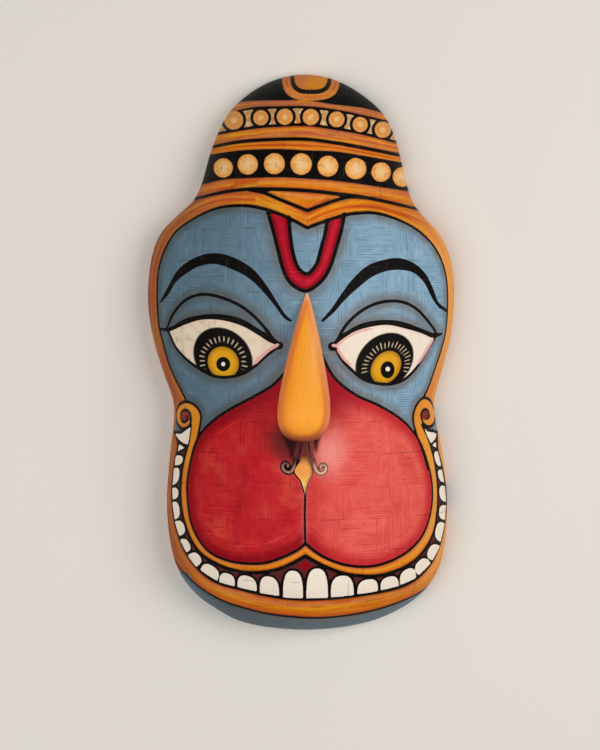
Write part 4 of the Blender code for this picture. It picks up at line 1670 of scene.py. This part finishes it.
def painted_wood():
    """The nose's paint: bright orange, with a rosy border and the grain showing, painted light on its left
    and upper right flanks and painted shade on its browner end.
    """
    material, mixer, shader = new_material("painted wood")
    front = mixer.add("ShaderNodeTexCoord").outputs["Object"]
    side = mixer.parts(front)[0]
    along_grain = mixer.vector("MULTIPLY", front, (900.0, 60.0, 200.0))
    edge = mixer.attribute("nose_edge")
    down = mixer.attribute("down_the_nose")
    grain = mixer.noise(along_grain, 1.0, 4.0, 0.6)
    border = mixer.plus(edge, mixer.swing(grain, 1.4))
    border = mixer.less(border, mixer.step(down, 0.78, 0.98, 0.0, 1.4))
    base = mixer.ramp(mixer.ratio(border, 8.0), NOSE_BORDER)
    # Painted light: the shaded left side of the nose is painted a brighter orange.
    base = mixer.mix(mixer.times(mixer.step(side, 0.004, -0.008), 0.55), base, NOSE_LEFT_PAINTED_LIGHT)
    # Painted highlight: the upper part of the nose's right side is painted lighter.
    rightward = mixer.times(mixer.step(side, 0.003, 0.009), mixer.step(down, 0.75, 0.30, 0.0, 0.55))
    base = mixer.mix(rightward, base, NOSE_RIGHT_PAINTED_LIGHT)
    # Painted shade: the nose's downward-facing end is painted browner, a little more on the viewer's left.
    foot = mixer.times(mixer.step(down, 0.84, 0.995), mixer.step(edge, 6.5, 1.0))
    base = mixer.mix(mixer.times(foot, mixer.step(side, 0.010, -0.006, 0.86, 1.0)), base, NOSE_FOOT_PAINTED_SHADE)
    base = mixer.mix(mixer.step(down, 0.075, 0.0, 0.0, 0.7), base, NOSE_TIP)
    base = mixer.mix(mixer.times(mixer.step(grain, 0.50, 0.72), 0.22), base, NOSE_GRAIN)
    painted = mixer.group(BRUSH, Colour=base, Place=along_grain, Amount=0.20, Strokes=0.3)["Colour"]
    coat(mixer, shader, painted, mixer.plus(0.42, mixer.times(grain, 0.20)), grain, 0.2, 0.0002)
    shader.inputs["Specular IOR Level"].default_value = 0.22
    return material


def make_floor():
    """A plain pale floor."""
    deselect()
    bpy.ops.mesh.primitive_plane_add(size=FLOOR_SIZE)
    floor = bpy.context.object
    floor.name = "floor"
    material, _, shader = new_material("pale floor")
    shader.inputs["Base Color"].default_value = (*FLOOR_COLOUR, 1.0)
    shader.inputs["Roughness"].default_value = 0.8
    floor.data.materials.append(material)


def make_light(name, place, size, power, colour):
    """A soft square light that faces the mask."""
    data = bpy.data.lights.new(name, "AREA")
    data.size = size
    data.energy = power
    data.color = colour
    light = bpy.data.objects.new(name, data)
    light.location = place
    light.rotation_euler = (Vector(place) - Vector(LIGHT_AIM)).to_track_quat("Z", "Y").to_euler()
    bpy.context.scene.collection.objects.link(light)


def make_lights():
    """A key light from the viewer's right, a weak fill from the left and a pale room."""
    for light in LIGHTS:
        make_light(*light)
    world = bpy.data.worlds.new("room")
    world.use_nodes = True
    background = world.node_tree.nodes["Background"]
    background.inputs["Color"].default_value = (*ROOM_COLOUR, 1.0)
    background.inputs["Strength"].default_value = ROOM_STRENGTH
    bpy.context.scene.world = world


def make_camera():
    """The camera, at the photograph's angle."""
    place, right, up, back = camera_axes()
    data = bpy.data.cameras.new("camera")
    data.sensor_fit = "AUTO"
    data.sensor_width = SENSOR
    data.lens = SENSOR * CAMERA_DISTANCE / METRES_PER_PIXEL / max(PHOTO_SIZE)
    camera = bpy.data.objects.new("camera", data)
    turned = Matrix((right, up, back)).transposed().to_4x4()
    camera.matrix_world = Matrix.Translation(place) @ turned
    bpy.context.scene.collection.objects.link(camera)
    bpy.context.scene.camera = camera


make_camera()
make_lights()
bpy.context.scene.view_settings.view_transform = "Standard"
make_floor()
make_shell()
make_nose()
